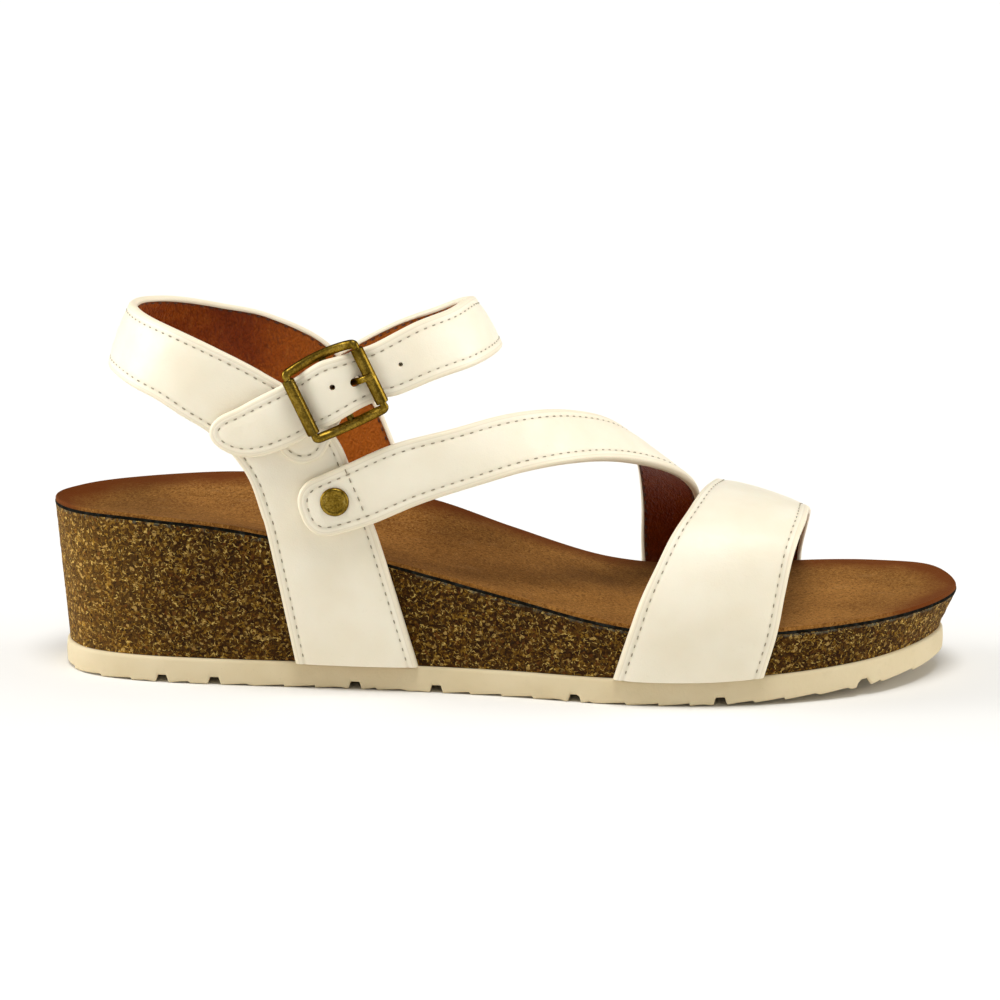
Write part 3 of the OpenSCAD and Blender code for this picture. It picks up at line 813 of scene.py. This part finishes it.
def make_outsole():
    points, inward = rim_ring(outsole_places())
    base = points + inward * (lean(points[:, :1]) - LEDGE)
    low = ground(base[:, 0]) + tread(base[:, 0])
    high = ground(base[:, 0]) + OUTSOLE_T
    round_top, round_low, bulge = 1.1, 0.7, 0.12
    walls = []

    def ring(inset, height):
        wall = base + inward * inset
        wall[:, 2] = height
        walls.append(wall)

    for inset, drop in quarter(round_top, 6):
        ring(inset, high - drop)
    for share in np.linspace(0.12, 0.9, 6):
        level = (high - round_top) * (1 - share) + (low + round_low) * share
        ring(-bulge * math.sin(math.pi * share), level)
    for rise, inset in quarter(round_low, 6):
        ring(inset, low + rise)
    mesh = sole_solid(walls, 46, levelled(lambda x: OUTSOLE_T), levelled(tread))
    surface = mesh.all_points()
    surface[:, 2] = np.maximum(surface[:, 2], 0.0)
    make_piece("outsole_tread", surface, mesh.faces, RUBBER, nodes=["outsole"])


# ---- Straps ----

SKIN_T, FOAM_T, LINING_T = 0.9, 0.8, 0.9
STRAP_T = SKIN_T + FOAM_T + LINING_T
# Heights above the strap's inner face.
LINING_LOW, LINING_TOP, FOAM_LOW, FOAM_TOP, SKIN_LOW = 0.02, 0.92, 0.96, 1.66, 0.95
# Distances from the strap's outline.
LINING_EDGE, FOAM_EDGE, STITCH_INSET, LINING_INSET = 1.2, 3.15, 2.7, 1.6
STITCH_PITCH, STITCH_L, STITCH_R = 2.8, 1.45, 0.175
SEAM_SINK, EDGE_R = 0.22, 1.15

TOE_A = [
    [34, -41.3, 7.6], [38.5, -44.5, 22], [41.5, -44.5, 31], [45.5, -41.5, 40],
    [49.5, -36, 48], [53.5, -27, 53], [57, -13, 56], [59.5, 4, 55], [60, 22, 51],
    [59.5, 36, 42], [58.5, 43.5, 31], [58, 45.5, 21], [57.5, 42.6, 7.6],
]
TOE_B = [
    [75.5, -39.5, 8.4], [79, -41.5, 21], [81, -40.5, 32], [83, -37.5, 42],
    [85, -31, 48], [86.5, -22, 50.5], [87, -8, 50], [87, 6, 47], [87.5, 22, 43],
    [86.5, 34, 36], [85, 41.5, 28], [84.5, 44.7, 22], [84, 42, 8.9],
]
TOE_CROWN = [[0, 2.4], [2, 2], [4, 1.2], [8, 0.9], [10, 1.5], [12, 2.2]]
INSTEP_A = [
    [-55.6, -36.8, 59.2], [-40.5, -36.8, 66], [-27, -36.2, 72], [-11.5, -33.5, 76],
    [3, -26, 79], [15, -14, 78.5], [25, 0, 75], [31.5, 12, 70], [36, 24, 63],
    [38, 33.5, 54], [38.5, 40, 42], [38, 43.5, 30], [38, 43.7, 21.5], [38, 41.2, 7.6],
]
INSTEP_B = [
    [-50.1, -36.8, 44.2], [-34.5, -37.6, 49], [-19.5, -37.6, 55.5], [-3, -36, 61],
    [9, -31, 64], [21, -22, 65], [32.5, -9, 63.5], [43.5, 5, 59.5], [51, 15, 55],
    [55, 25, 49], [56, 34.5, 41], [56.5, 42, 31], [56, 45.2, 21], [55.5, 42.6, 7.6],
]
QUARTER_A = [
    [-55.5, -29.4, 7.6], [-62.5, -32.2, 43.5], [-64.5, -32.4, 51], [-67.5, -32.5, 60],
    [-72, -32.4, 67], [-79, -31.5, 73.5], [-87, -30, 78], [-94.5, -27, 82],
    [-102, -21.5, 84.5], [-107.5, -13, 86], [-111, -3, 86.5], [-111.5, 7, 86.5],
    [-108.5, 17, 86.5], [-101, 25, 86.5], [-90, 30, 84.5], [-79, 32, 80.5],
    [-69, 33.5, 72.5], [-63, 34.5, 62], [-61, 36, 53], [-58.5, 36, 45], [-52, 33.5, 7.6],
]
QUARTER_B = [
    [-21, -31.4, 7.6], [-30.5, -33.3, 40.5], [-34, -33.6, 51], [-38.5, -33.8, 62],
    [-43, -33.8, 72.5], [-53, -33, 84], [-63.5, -31.5, 90.5], [-76, -29.5, 96.5],
    [-88, -24.5, 101], [-98, -15.5, 103.5], [-103.5, -5, 104.5], [-105, 5, 104.5],
    [-102.5, 14.5, 104], [-94.5, 23.5, 102.5], [-82.5, 29.5, 99.5], [-69, 32.5, 96],
    [-53, 34, 88], [-40, 34.5, 73], [-33, 34, 58], [-27.5, 33.2, 44], [-14, 31, 7.6],
]

# Buckle: the middle of its centre bar, and the strap's route through it.
BUCKLE_AT = np.array([-42.5, -37.2, 87.5])
REACH, ROLLER_UP, WIRE_D, ROLLER_D, ROLLER_L = 10.5, 3.8, 2.0, 3.5, 16.6
BOW, ARCH, ARCH_LOW, BAR_R = 9.85, 0.7, 0.5, 0.98
HOLE_PITCH = 6.3


def on_buckle(p):
    """From [along the strap, along the bars, outwards] at the buckle to the part's frame."""
    p = np.asarray(p, float)
    x, y, z = p[..., 0], p[..., 1], p[..., 2]
    c, s = math.cos(TILT), math.sin(TILT)
    return BUCKLE_AT + np.stack([x * c - y * s, -z, x * s + y * c], -1)


# The strap through the buckle: [along it, lower edge, upper edge, outwards].
STRAP_ROUTE = [
    [-REACH, -8.4, 7.5, 1.05], [-5, -8.1, 8.7, 3.7], [0, -7.6, 9.2, 4.7],
    [5, -7.3, 8.4, 3.7], [REACH, -7.8, 7.4, 1.05], [15.5, -8.8, 7, 0.2],
]
# The strap's spare holes: middle at the buckle, and radius.
SPARE_HOLES = [([0, 1.5, 4.0], 0.8), ([3 * HOLE_PITCH, -1.3, 0.0], 0.6)]


def through_buckle(edge):
    return [on_buckle([place[0], place[edge], place[3]]).tolist() for place in STRAP_ROUTE]


ANKLE_TAIL_A = [[-77.9, -35.2, 66.1], [-66.9, -37.2, 67], [-54.8, -38.2, 71.6]]
ANKLE_TAIL_B = [[-78.6, -34.9, 82], [-70.4, -36.3, 82.2], [-61.8, -38.2, 86.2]]
ANKLE_A = ANKLE_TAIL_A + through_buckle(1) + [
    [-15, -34, 90], [-5, -25.5, 92.5], [0, -12, 93.5], [0.5, 3.5, 93], [-4, 17, 90.5],
    [-13, 27, 86], [-25, 33.5, 79.5], [-39, 38.2, 72], [-50, 38, 65.5],
]
ANKLE_B = ANKLE_TAIL_B + through_buckle(2) + [
    [-21, -32, 105.5], [-12, -23, 108], [-8, -10, 109], [-8, 4, 107], [-12, 16, 104.5],
    [-20, 26, 100], [-32, 32.5, 94.5], [-45, 37.4, 87], [-57, 36.8, 80],
]


class Strap:
    """A strap between edge curves a and b, whose points lie on its outer face."""

    def __init__(
        self, name, a, b, crown=((0, 0.4),), tip=0.0, tail=0.0, tip_n=2.0, thick=STRAP_T
    ):
        """tip and tail are the lengths over which the first and last ends are rounded.
        crown is [place, height] of the middle above the edges."""
        self.name = name
        self.a, self.b = np.array(a, float), np.array(b, float)
        self.crown = np.array(crown, float)
        self.tip, self.tail, self.tip_n, self.thick = tip, tail, tip_n, thick
        u = np.linspace(0, len(a) - 1, 1500)
        middle = (on_path(self.a, u) + on_path(self.b, u)) / 2
        self.run_u, self.run = u, run_along(middle)
        self.length = self.run[-1]

    def frame(self, s):
        """Middle, side, outward direction, half width and crown at lengths s."""
        u = np.interp(s, self.run, self.run_u)
        last = len(self.a) - 1
        u0, u1 = np.maximum(u - 0.05, 0), np.minimum(u + 0.05, last)
        p, q = on_path(self.a, u), on_path(self.b, u)
        along = on_path(self.a, u1) + on_path(self.b, u1)
        along = along - on_path(self.a, u0) - on_path(self.b, u0)
        side = unit(q - p)
        out = unit(np.cross(side, along))
        rise = np.interp(u, self.crown[:, 0], self.crown[:, 1])
        return (p + q) / 2, side, out, np.linalg.norm(q - p, axis=-1) / 2, rise

    def ends(self, s):
        """Rounded ends as [rounded length, power, distances from that end]."""
        both = (self.tip, self.tip_n, s), (self.tail, 2.0, self.length - s)
        return [end for end in both if end[0]]

    def half_at(self, s, inset):
        """Half width of the outline, moved in by inset, at lengths s."""
        width = self.frame(s)[3] - inset
        for r, power, run in self.ends(s):
            t = np.clip((r - run) / (r - inset), 0, 1)
            width = width * np.maximum(0, 1 - t**power) ** (1 / power)
        return width

    def inset_of(self, s, x):
        """Distance from the outline of a place x across the strap at length s."""
        half = self.frame(s)[3]
        edge = half - np.abs(x)
        for r, power, run in self.ends(s):
            along, across = np.clip((r - run) / r, 0, 1), np.abs(x) / half
            level = np.maximum((along**power + across**power) ** (1 / power), 1e-3)
            steep = np.hypot(along ** (power - 1) / r, across ** (power - 1) / half)
            steep = level ** (1 - power) * steep
            near = (1 - level) / np.maximum(steep, 1e-6)
            edge = np.where(run < r, np.minimum(edge, near), edge)
        return edge

    def place(self, s, x, height):
        """Points at length s, x across and height above the lining's inner face."""
        middle, side, out, half, rise = self.frame(s)
        lift = rise * (1 - (x / np.maximum(half, 1e-6)) ** 2)
        return middle + side * x[:, None] + out * (height - self.thick + lift)[:, None]

    def lengths(self, inset, step):
        """Lengths along the strap about a step apart, and closer at its rounded ends."""
        start = inset if self.tip else 0.0
        end = self.length - (inset if self.tail else 0.0)
        s = list(np.linspace(start, end, int((end - start) / step) + 2))
        for r, run in ((self.tip, lambda d: start + d), (self.tail, lambda d: end - d)):
            if r:
                bend = [1 - math.cos(k * math.pi / 56) for k in range(29)]
                s += [run(0.002 + (r - inset) * share) for share in bend]
        s = np.unique(np.round(s, 3))
        if self.tip:
            s = s[s > start]
        if self.tail:
            s = s[s < end]
        return s


def across_places(half, inset):
    """Shares of the half width, close together towards each edge."""
    reach = half - inset
    near = [0, 0.03, 0.1, 0.22, 0.4, 0.62, 0.9, 1.2, 1.5, 1.8, 2.1, 2.35, 2.6, 2.9, 3.2, 3.6, 4.1]
    left = [-1 + d / reach for d in near if d < 0.55 * reach]
    inner = np.linspace(left[-1], -left[-1], 15)[1:-1]
    return np.concatenate([left, inner, [-t for t in left[::-1]]])


def strap_layer(strap, inset, top, low, step=0.7, dimple=0.0, seed=0, soft=0.0):
    """Closed shell over the strap's outline. top and low give heights from the distance
    to the outline, and dimple sinks the surface at each stitch."""
    s = strap.lengths(inset, step)
    narrow = float(np.median(strap.frame(s)[3]))
    t = across_places(narrow, inset)
    grid_s = np.repeat(s, len(t))
    x = np.repeat(strap.half_at(s, inset), len(t)) * np.tile(t, len(s))
    d = np.maximum(strap.inset_of(grid_s, x), inset)
    high, under = top(d), low(d)
    wave = 0.5 + 0.5 * np.cos(2 * math.pi * grid_s / STITCH_PITCH)
    high = high - dimple * bump(d, STITCH_INSET, 0.55) * (0.6 + 0.4 * wave)
    upper = strap.place(grid_s, x, high)
    if soft:
        out = strap.frame(grid_s)[2]
        upper = upper + out * (soft * wobble(upper, 13, seed) * smooth(d, 1.5, 5))[:, None]
    lower = strap.place(grid_s, x, under)
    rows, cols = len(s), len(t)
    count = rows * cols
    faces = grid_faces(rows, cols) + [f[::-1] for f in grid_faces(rows, cols, count)]
    grid = np.arange(count).reshape(rows, cols)
    for edge, turn in ((grid[:, 0], 1), (grid[:, -1], -1), (grid[0], -1), (grid[-1], 1)):
        for a, b in zip(edge[:-1].tolist(), edge[1:].tolist()):
            faces.append((a, b, b + count, a + count)[::turn])
    return np.vstack([upper, lower]), faces, np.concatenate([d, d])


def rolled(thick, r):
    """Heights of leather turned in round an edge of radius r. It is level inside that,
    and its underside steps up over the lining and the foam."""

    def top(d):
        bend = np.clip(r - d, 0, r)
        pad = 0.14 * smooth(d, 3.2, 6) - 0.08 * bump(d, r, 0.25)
        return thick - r + np.sqrt(np.maximum(0, r * r - bend * bend)) + pad

    def low(d):
        bend = np.clip(r - d, 0, r)
        turned = r - np.sqrt(np.maximum(0, r * r - bend * bend))
        step = (SKIN_LOW - LINING_LOW) * smooth(d, 1.15, 1.3)
        return turned + step + FOAM_T * smooth(d, 2.9, 3.1)

    return top, low


def stitch(mesh, at, along, out):
    """One stitch: a short rounded thread, lower at its two ends."""
    side = np.cross(out, along)
    rings, sides = 7, 8
    points = []
    for k in range(rings):
        t = -1 + 2 * k / (rings - 1)
        r = STITCH_R * math.sqrt(max(0.06, 1 - abs(t) ** 3))
        centre = at + along * (t * STITCH_L / 2) + out * (0.08 - 0.22 * t * t)
        for a in turns(sides):
            points.append(centre + r * (side * math.cos(a) + out * 0.8 * math.sin(a)))
    mesh.add(points, capped(rings, sides))


def seam_route(strap, inset):
    """[length, across] places along the seam: up one side, round any end and back."""
    start = inset if strap.tip else 1.2
    end = strap.length - (inset if strap.tail else 1.2)
    t = np.linspace(0, 1, 900)
    ease = (1 - np.cos(np.linspace(0, math.pi, 900))) / 2
    s = start + (end - start) * (0.25 * t + 0.75 * ease)
    half = strap.half_at(s, inset)
    sides = [np.stack([s, -half], 1), np.stack([s, half], 1)]
    if strap.tip and strap.tail:
        return [np.vstack([sides[0], sides[1][::-1]])]
    if strap.tip:
        return [np.vstack([sides[0][::-1], sides[1]])]
    return sides


def sew(mesh, strap, route, height, inner=False, skin=None):
    """Stitches at an even pitch along a route of [length, across] places, laid on the
    points of the skin where they are given."""
    line = strap.place(*route.T, height)
    run = run_along(line)
    for k in range(int(run[-1] / STITCH_PITCH)):
        d = (k + 0.5) * STITCH_PITCH
        at, ahead, behind = (
            np.array([np.interp(d + step, run, line[:, c]) for c in range(3)])
            for step in (0, 0.4, -0.4)
        )
        s = np.array([np.interp(d, run, route[:, 0])])
        out = strap.frame(s)[2][0] * (-1 if inner else 1)
        if skin is not None:
            near = skin[np.argmin(((skin - at) ** 2).sum(1))]
            at = at + out * (np.dot(near - at, out) - 0.02)
        stitch(mesh, at, unit(ahead - behind), out)


def make_strap(strap, seed, seams=(), holes=()):
    """Outer leather, foam and lining of one strap, and its rows of stitches."""
    name = strap.name
    top, low = rolled(STRAP_T, EDGE_R)
    points, faces, d = strap_layer(strap, 0, top, low, dimple=0.24, seed=seed, soft=0.14)
    skin = points[: len(points) // 2]
    shown = np.arange(len(points)) < len(skin)
    for route in seams:
        line = strap.place(*route.T, STRAP_T + 0.1)
        near = np.linalg.norm(points[:, None] - line[None, ::4], axis=2).min(1)
        out = strap.frame(np.array([route[:, 0].mean()]))[2]
        points = points - out * (shown * SEAM_SINK * bump(near, 0, 0.7))[:, None]
    for middle, direction, radius in holes:
        away = np.linalg.norm(np.cross(points - np.array(middle), direction), axis=1)
        points = points + direction * (SEAM_SINK * bump(away, 0, radius + 0.45))[:, None]
    # The seam attribute paints shade along the stitch groove; inset gives the warmer turned edge
    # and the painted shade in its fold.
    make_piece(
        f"{name}_leather", points, faces, LEATHER, nodes=[f"{name}_outer"],
        attributes=[("inset", d / 10), ("seam", bump(d, STITCH_INSET, 0.4))], holes=holes,
    )

    def under(d):
        return LINING_LOW + 0.14 * bump(d, 1.5, 0.35)

    points, faces, d = strap_layer(strap, LINING_EDGE, lambda d: LINING_TOP, under, step=0.8)
    forward = smooth(points[:, 0], -5, 25)
    # Where the lining is painted lighter, as if lit: rising from x -78 mm to full by -45 mm,
    # fading out between -5 and 25 mm. Painted light.
    rubbed = smooth(points[:, 0], -78, -45) * (1 - forward)
    # Where the lining is painted darker, as in shade: the front straps and part of the heel
    # sling.
    deep = forward + 0.4 * smooth(-points[:, 0], 62, 80) * (1 - smooth(-points[:, 0], 96, 108))
    # The lining's seam attribute paints shade along its stitch line.
    make_piece(
        f"{name}_lining_leather", points, faces, LINING,
        nodes=[f"{name}_lining"], holes=holes,
        attributes=[("seam", bump(d, LINING_INSET, 0.3)), ("rubbed", rubbed), ("deep", deep)],
    )
    points, faces, _ = strap_layer(
        strap, FOAM_EDGE, lambda d: FOAM_TOP, lambda d: FOAM_LOW, step=2.0
    )
    make_piece(
        f"{name}_padding", points, faces, FOAM, nodes=[f"{name}_foam"], holes=holes
    )
    outer, inner = Mesh(), Mesh()
    for route in seam_route(strap, STITCH_INSET) + list(seams):
        sew(outer, strap, route, STRAP_T - 0.10, skin=skin)
    for route in seam_route(strap, LINING_INSET):
        sew(inner, strap, route, 0.06, inner=True)
    for kind, mesh, thread in (("", outer, THREAD), ("lining_", inner, DARK_THREAD)):
        make_piece(f"{name}_{kind}stitches", mesh.all_points(), mesh.faces, thread)


TOE_STRAP = Strap("toe_strap", TOE_A, TOE_B, TOE_CROWN)
INSTEP_STRAP = Strap("instep_strap", INSTEP_A, INSTEP_B, tip=7.5, tip_n=2.5)
HEEL_QUARTER = Strap("heel_quarter", QUARTER_A, QUARTER_B)
ANKLE_STRAP = Strap("ankle_strap", ANKLE_B, ANKLE_A, crown=((0, 0.3),), tip=17, tail=8)

# ---- Buckle, tab, prong and rivet ----

SEAT_R = 1.06


def along_bars(points, x, z):
    """Stands points that were turned about Z along the buckle's bars, at x and z."""
    return on_buckle(np.stack([points[:, 0] + x, points[:, 2], points[:, 1] + z], 1))


def rounded(radius, top, soft, low=None):
    """Outer [radius, height] profile from top down to low with softened corners."""
    low = -top if low is None else low
    corner = quarter(soft, 6)
    upper = [(radius - inset, top - drop) for inset, drop in corner]
    lower = [(radius - inset, low + drop) for inset, drop in corner[::-1]]
    middle = [(radius, top + (low - top) * k / 12) for k in range(2, 11)]
    return upper + middle + lower


def bored(radius, half, soft, mouth):
    """Profile of a ring round the seats, whose bore widens by mouth at its ends."""
    bore = [(SEAT_R, -half + mouth), (SEAT_R, half - mouth), (SEAT_R + mouth, half)]
    return bore[2:] + rounded(radius, half, soft) + [(SEAT_R + mouth, -half)] + bore


def make_rollers():
    """Rollers: bored tubes with softened ends, darker towards them with patina and painted shade.
    """
    half = ROLLER_L / 2
    for name, side in (("rear", -1), ("front", 1)):
        points, faces = lathe(bored(ROLLER_D / 2, half, 0.28, 0.1), 72)
        # Darker towards each roller end, where it meets the wire: patina in the crevice and
        # painted shade.
        recess = 0.15 + 0.6 * smooth(np.abs(points[:, 2]), half - 1.0, half)
        make_piece(
            f"buckle_roller_{name}_tube", along_bars(points, side * REACH, ROLLER_UP), faces,
            BRUSHED_BRASS, body=f"{name}_roller",
            nodes=[f"buckle_roller_{name}"], attributes=[("recess", recess)],
        )


def frame_route():
    """Closed middle line of the buckle wire: two bars and two arched side wires."""
    drop = ROLLER_UP - ARCH_LOW
    rise = math.hypot(ARCH, drop)
    radius = (REACH**2 + rise**2) / (2 * rise)
    angle = math.asin(REACH / radius)
    route = []
    for side in (1, -1):
        for a in np.linspace(-angle, angle, 60) * side:
            out = 1 - radius * (1 - math.cos(a)) / rise
            across = side * (BOW + ARCH * out)
            route.append((radius * math.sin(a), across, ROLLER_UP - drop * out))
        route += [(side * REACH, side * y, ROLLER_UP) for y in np.linspace(BOW, -BOW, 50)[1:-1]]
    return np.array(route)


def even(route, step):
    """The closed route again, with its points evenly spaced."""
    loop = np.vstack([route, route[:1]])
    run = run_along(loop)
    at = np.linspace(0, run[-1], int(run[-1] / step), endpoint=False)
    return np.stack([np.interp(at, run, loop[:, k]) for k in range(3)], 1)


def make_frame_wire():
    """The buckle frame: a bent wire, thinner inside the rollers, and a centre bar."""
    route = even(frame_route(), 0.3)
    for _ in range(9):
        route = (np.roll(route, 1, 0) + 2 * route + np.roll(route, -1, 0)) / 4
    side = smooth(np.abs(route[:, 1]), 8.5, 10.2)
    slope = -0.5 * np.clip(route[:, 1] / 9, -1, 1)
    normal = np.stack([0 * slope, slope, np.ones(len(slope))], 1)
    mesh = Mesh()
    sides = 32
    # The wire is painted darker on its back and edges and lighter on its outward crest: painted
    # shade and dark reflection.
    recess = [1 - smooth(np.tile(np.sin(turns(sides)), len(route)), -0.5, 0.75)]
    points, faces = tube(
        route, BAR_R + 0.42 * side, sides, closed=True, flat=1 - 0.22 * side, normal=normal
    )
    mesh.add(on_buckle(points), faces)
    end = BOW + ARCH
    points, faces = lathe([(0, end)] + rounded(WIRE_D / 2, end, 0.3) + [(0, -end)], 32)
    mesh.add(along_bars(points, 0, 0), faces)
    # The centre bar, which lies under the strap, is painted dark: painted shade.
    recess.append(np.full(len(points), 0.8))
    make_piece(
        "buckle_frame_wire", mesh.all_points(), mesh.faces, BRASS,
        body="buckle", nodes=["buckle_frame"], attributes=[("recess", np.concatenate(recess))],
    )


PRONG_W, PRONG_T, EYE_R = 1.8, 1.4, 1.8
PRONG_REST = ROLLER_UP + ROLLER_D / 2 + PRONG_T / 2 + 0.1
PRONG_PATH = np.array([
    [0.4, -1], [2, -0.95], [3.8, -0.3], [5.2, 1], [6.6, 2.9], [7.8, 4.8], [8.8, 5.7],
    [10, PRONG_REST], [11.2, PRONG_REST], [12, PRONG_REST - 0.2],
])


def make_prong():
    """The prong: a flattened bar with a rounded tip, and its eye on the centre bar."""
    last = len(PRONG_PATH) - 1
    u = np.linspace(0, last, 90)
    route = on_path(PRONG_PATH, u)
    beyond = on_path(PRONG_PATH, np.minimum(u + 0.05, last))
    ahead = unit(beyond - on_path(PRONG_PATH, np.maximum(u - 0.05, 0)))
    run = run_along(route)
    left = run[-1] - run
    share = np.sqrt(np.clip(1 - (1 - np.clip(left / 0.8, 0, 1)) ** 2, 0.02, 1))
    sides = 24
    box = np.stack([np.cos(turns(sides)), np.sin(turns(sides))], 1)
    box = np.sign(box) * np.abs(box) ** 0.55
    points = []
    for (x, z), (ax, az), w in zip(route, ahead, share):
        for wide, high in box:
            lift = high * w * PRONG_T / 2
            points.append((x - az * lift, wide * w * PRONG_W / 2, z + ax * lift))
    mesh = Mesh()
    mesh.add(on_buckle(points), capped(len(route), sides))
    points, faces = lathe(bored(EYE_R, PRONG_W / 2, 0.2, 0.08), 64)
    mesh.add(along_bars(points, 0, 0), faces)
    make_piece(
        "buckle_prong_bar", mesh.all_points(), mesh.faces, BRASS, body="prong",
        nodes=["buckle_prong"],
    )


TAB_T, TAB_Y, LOOP_W = 1.5, -35.35, 5
TAB_REAR = [[-62.4, 71.4], [-58.6, 77.5], [-53.4, 85.4], [-48.6, 90.7], [-45.3, 93.4]]
TAB_FRONT = [[-50.5, 63.1], [-46.2, 69.1], [-42.6, 76.4], [-40.8, 79.6], [-39.7, 81.6]]


def make_tab():
    """The leather tab: a stitched plate, and two loops of it round the centre bar."""
    rear = [[x, TAB_Y, z] for x, z in TAB_REAR]
    front = [[x, TAB_Y, z] for x, z in TAB_FRONT]
    plate = Strap("buckle_tab", rear, front, crown=((0, 0.0),), tip=7.3, thick=TAB_T)
    top, _ = rolled(TAB_T, 0.7)
    points, faces, d = strap_layer(
        plate, 0, lambda d: np.minimum(top(d), TAB_T + 0.05), lambda d: 0, dimple=0.2
    )
    mesh = Mesh()
    mesh.add(points, faces)
    inset = [d / 7]
    loop_r = SEAT_R + 0.85
    for side in (-1, 1):
        outside = rounded(loop_r, LOOP_W / 2, 0.25)[::-1]
        bore = [(SEAT_R, LOOP_W / 2), (SEAT_R, -LOOP_W / 2)]
        points, faces = lathe(bore + outside + bore[:1], 56)
        points[:, 2] += side * 4
        mesh.add(along_bars(points, 0, 0), faces)
        inset.append(np.full(len(points), 0.5))
    inset = np.concatenate(inset)
    # The seam attribute paints shade along the tab's stitch groove.
    make_piece(
        "buckle_tab_leather", mesh.all_points(), mesh.faces, LEATHER,
        nodes=["buckle_tab"],
        attributes=[("inset", inset), ("seam", bump(inset * 7, 2.2, 0.4))],
    )
    thread = Mesh()
    for route in seam_route(plate, 2.2):
        sew(thread, plate, route[route[:, 0] < plate.length * 0.7], TAB_T - 0.08)
    make_piece("buckle_tab_stitches", thread.all_points(), thread.faces, THREAD)


RIVET_AT = np.array([-43.2, -37.6, 56])
CAP_D, CAP_H, POST_D, WASHER_D, WASHER_T = 8, 1.6, 3, 6.5, 0.8
POST_L = 2 * STRAP_T + 1.7


def outwards(points, at):
    """Stands points that were turned about Z outwards from the strap at a place."""
    return np.stack([points[:, 0] + at[0], at[1] - points[:, 2], points[:, 1] + at[2]], 1)


def make_rivet():
    """Rivet: a flat cap with a rolled rim, and the post and washer behind it."""
    r, roll = CAP_D / 2, 0.75
    rim = [
        (r - roll + roll * math.sin(a), CAP_H - roll + roll * math.cos(a))
        for a in np.linspace(-0.55, 1.57, 12)
    ]
    cap = [(0, CAP_H - 0.10), (0.9, CAP_H - 0.11), (1.8, CAP_H - 0.13), (2.6, CAP_H - 0.15)] + rim
    cap += [(r, 0.4), (r - 0.05, 0.15), (r - 0.2, 0.0), (0, 0.0)]
    points, faces = lathe(cap, 96)
    make_piece(
        "rivet_cap_dome", outwards(points, RIVET_AT), faces, BRASS,
        nodes=["rivet_cap"],
    )
    end = -POST_L - WASHER_T
    profile = [(0, 0), (POST_D / 2, 0), (POST_D / 2, -POST_L)]
    profile += rounded(WASHER_D / 2, -POST_L, 0.25, end)
    profile += [(1.7, end - 0.02), (1.2, end + 0.25), (0, end + 0.3)]
    points, faces = lathe(profile, 72)
    make_piece(
        "rivet_post_washer", outwards(points, RIVET_AT), faces, BRASS,
        nodes=["rivet_post"],
    )


# ---- Everything in place ----


def inwards(degrees):
    """Direction into the strap at the buckle, leaning along it."""
    angle = math.radians(degrees)
    return unit(on_buckle([0, 0, 0]) - on_buckle([math.sin(angle), 0, math.cos(angle)]))


# Holes as [middle, direction, radius]. The prong's hole is a slot of holes in a row.
HOLES = [(on_buckle(at), inwards(0), radius) for at, radius in SPARE_HOLES]
SLOT = [
    (on_buckle([HOLE_PITCH + x, 0, 2.2]), inwards(35), 1.2) for x in (-1.3, -0.6, 0.1, 0.8)
]


def across_seam(strap, marks):
    """Route of a seam through [x, z] marks, which all lie on the strap's outer face."""
    s, t = np.meshgrid(np.linspace(0, 40, 160), np.linspace(-1, 1, 80), indexing="ij")
    s, x = s.reshape(-1), t.reshape(-1) * strap.half_at(s.reshape(-1), 0)
    surface = strap.place(s, x, strap.thick)
    picked = [np.argmin(np.hypot(surface[:, 0] - mx, surface[:, 2] - mz)) for mx, mz in marks]
    places = np.stack([s[picked], x[picked]], 1)
    return on_path(places, np.linspace(0, len(places) - 1, 80))


SEAM_MARKS = [(-40.8, 65.6), (-38.6, 61.2), (-36.4, 56.2), (-34.2, 50.6)]
INSTEP_SEAM = across_seam(INSTEP_STRAP, SEAM_MARKS)

make_strap(TOE_STRAP, 5)
make_strap(INSTEP_STRAP, 6, seams=[INSTEP_SEAM])
make_strap(HEEL_QUARTER, 7)
make_strap(ANKLE_STRAP, 8, holes=HOLES + SLOT)
make_tab()
make_frame_wire()
make_rollers()
make_prong()
make_rivet()
make_footbed()
make_board()
make_cork()
make_outsole()
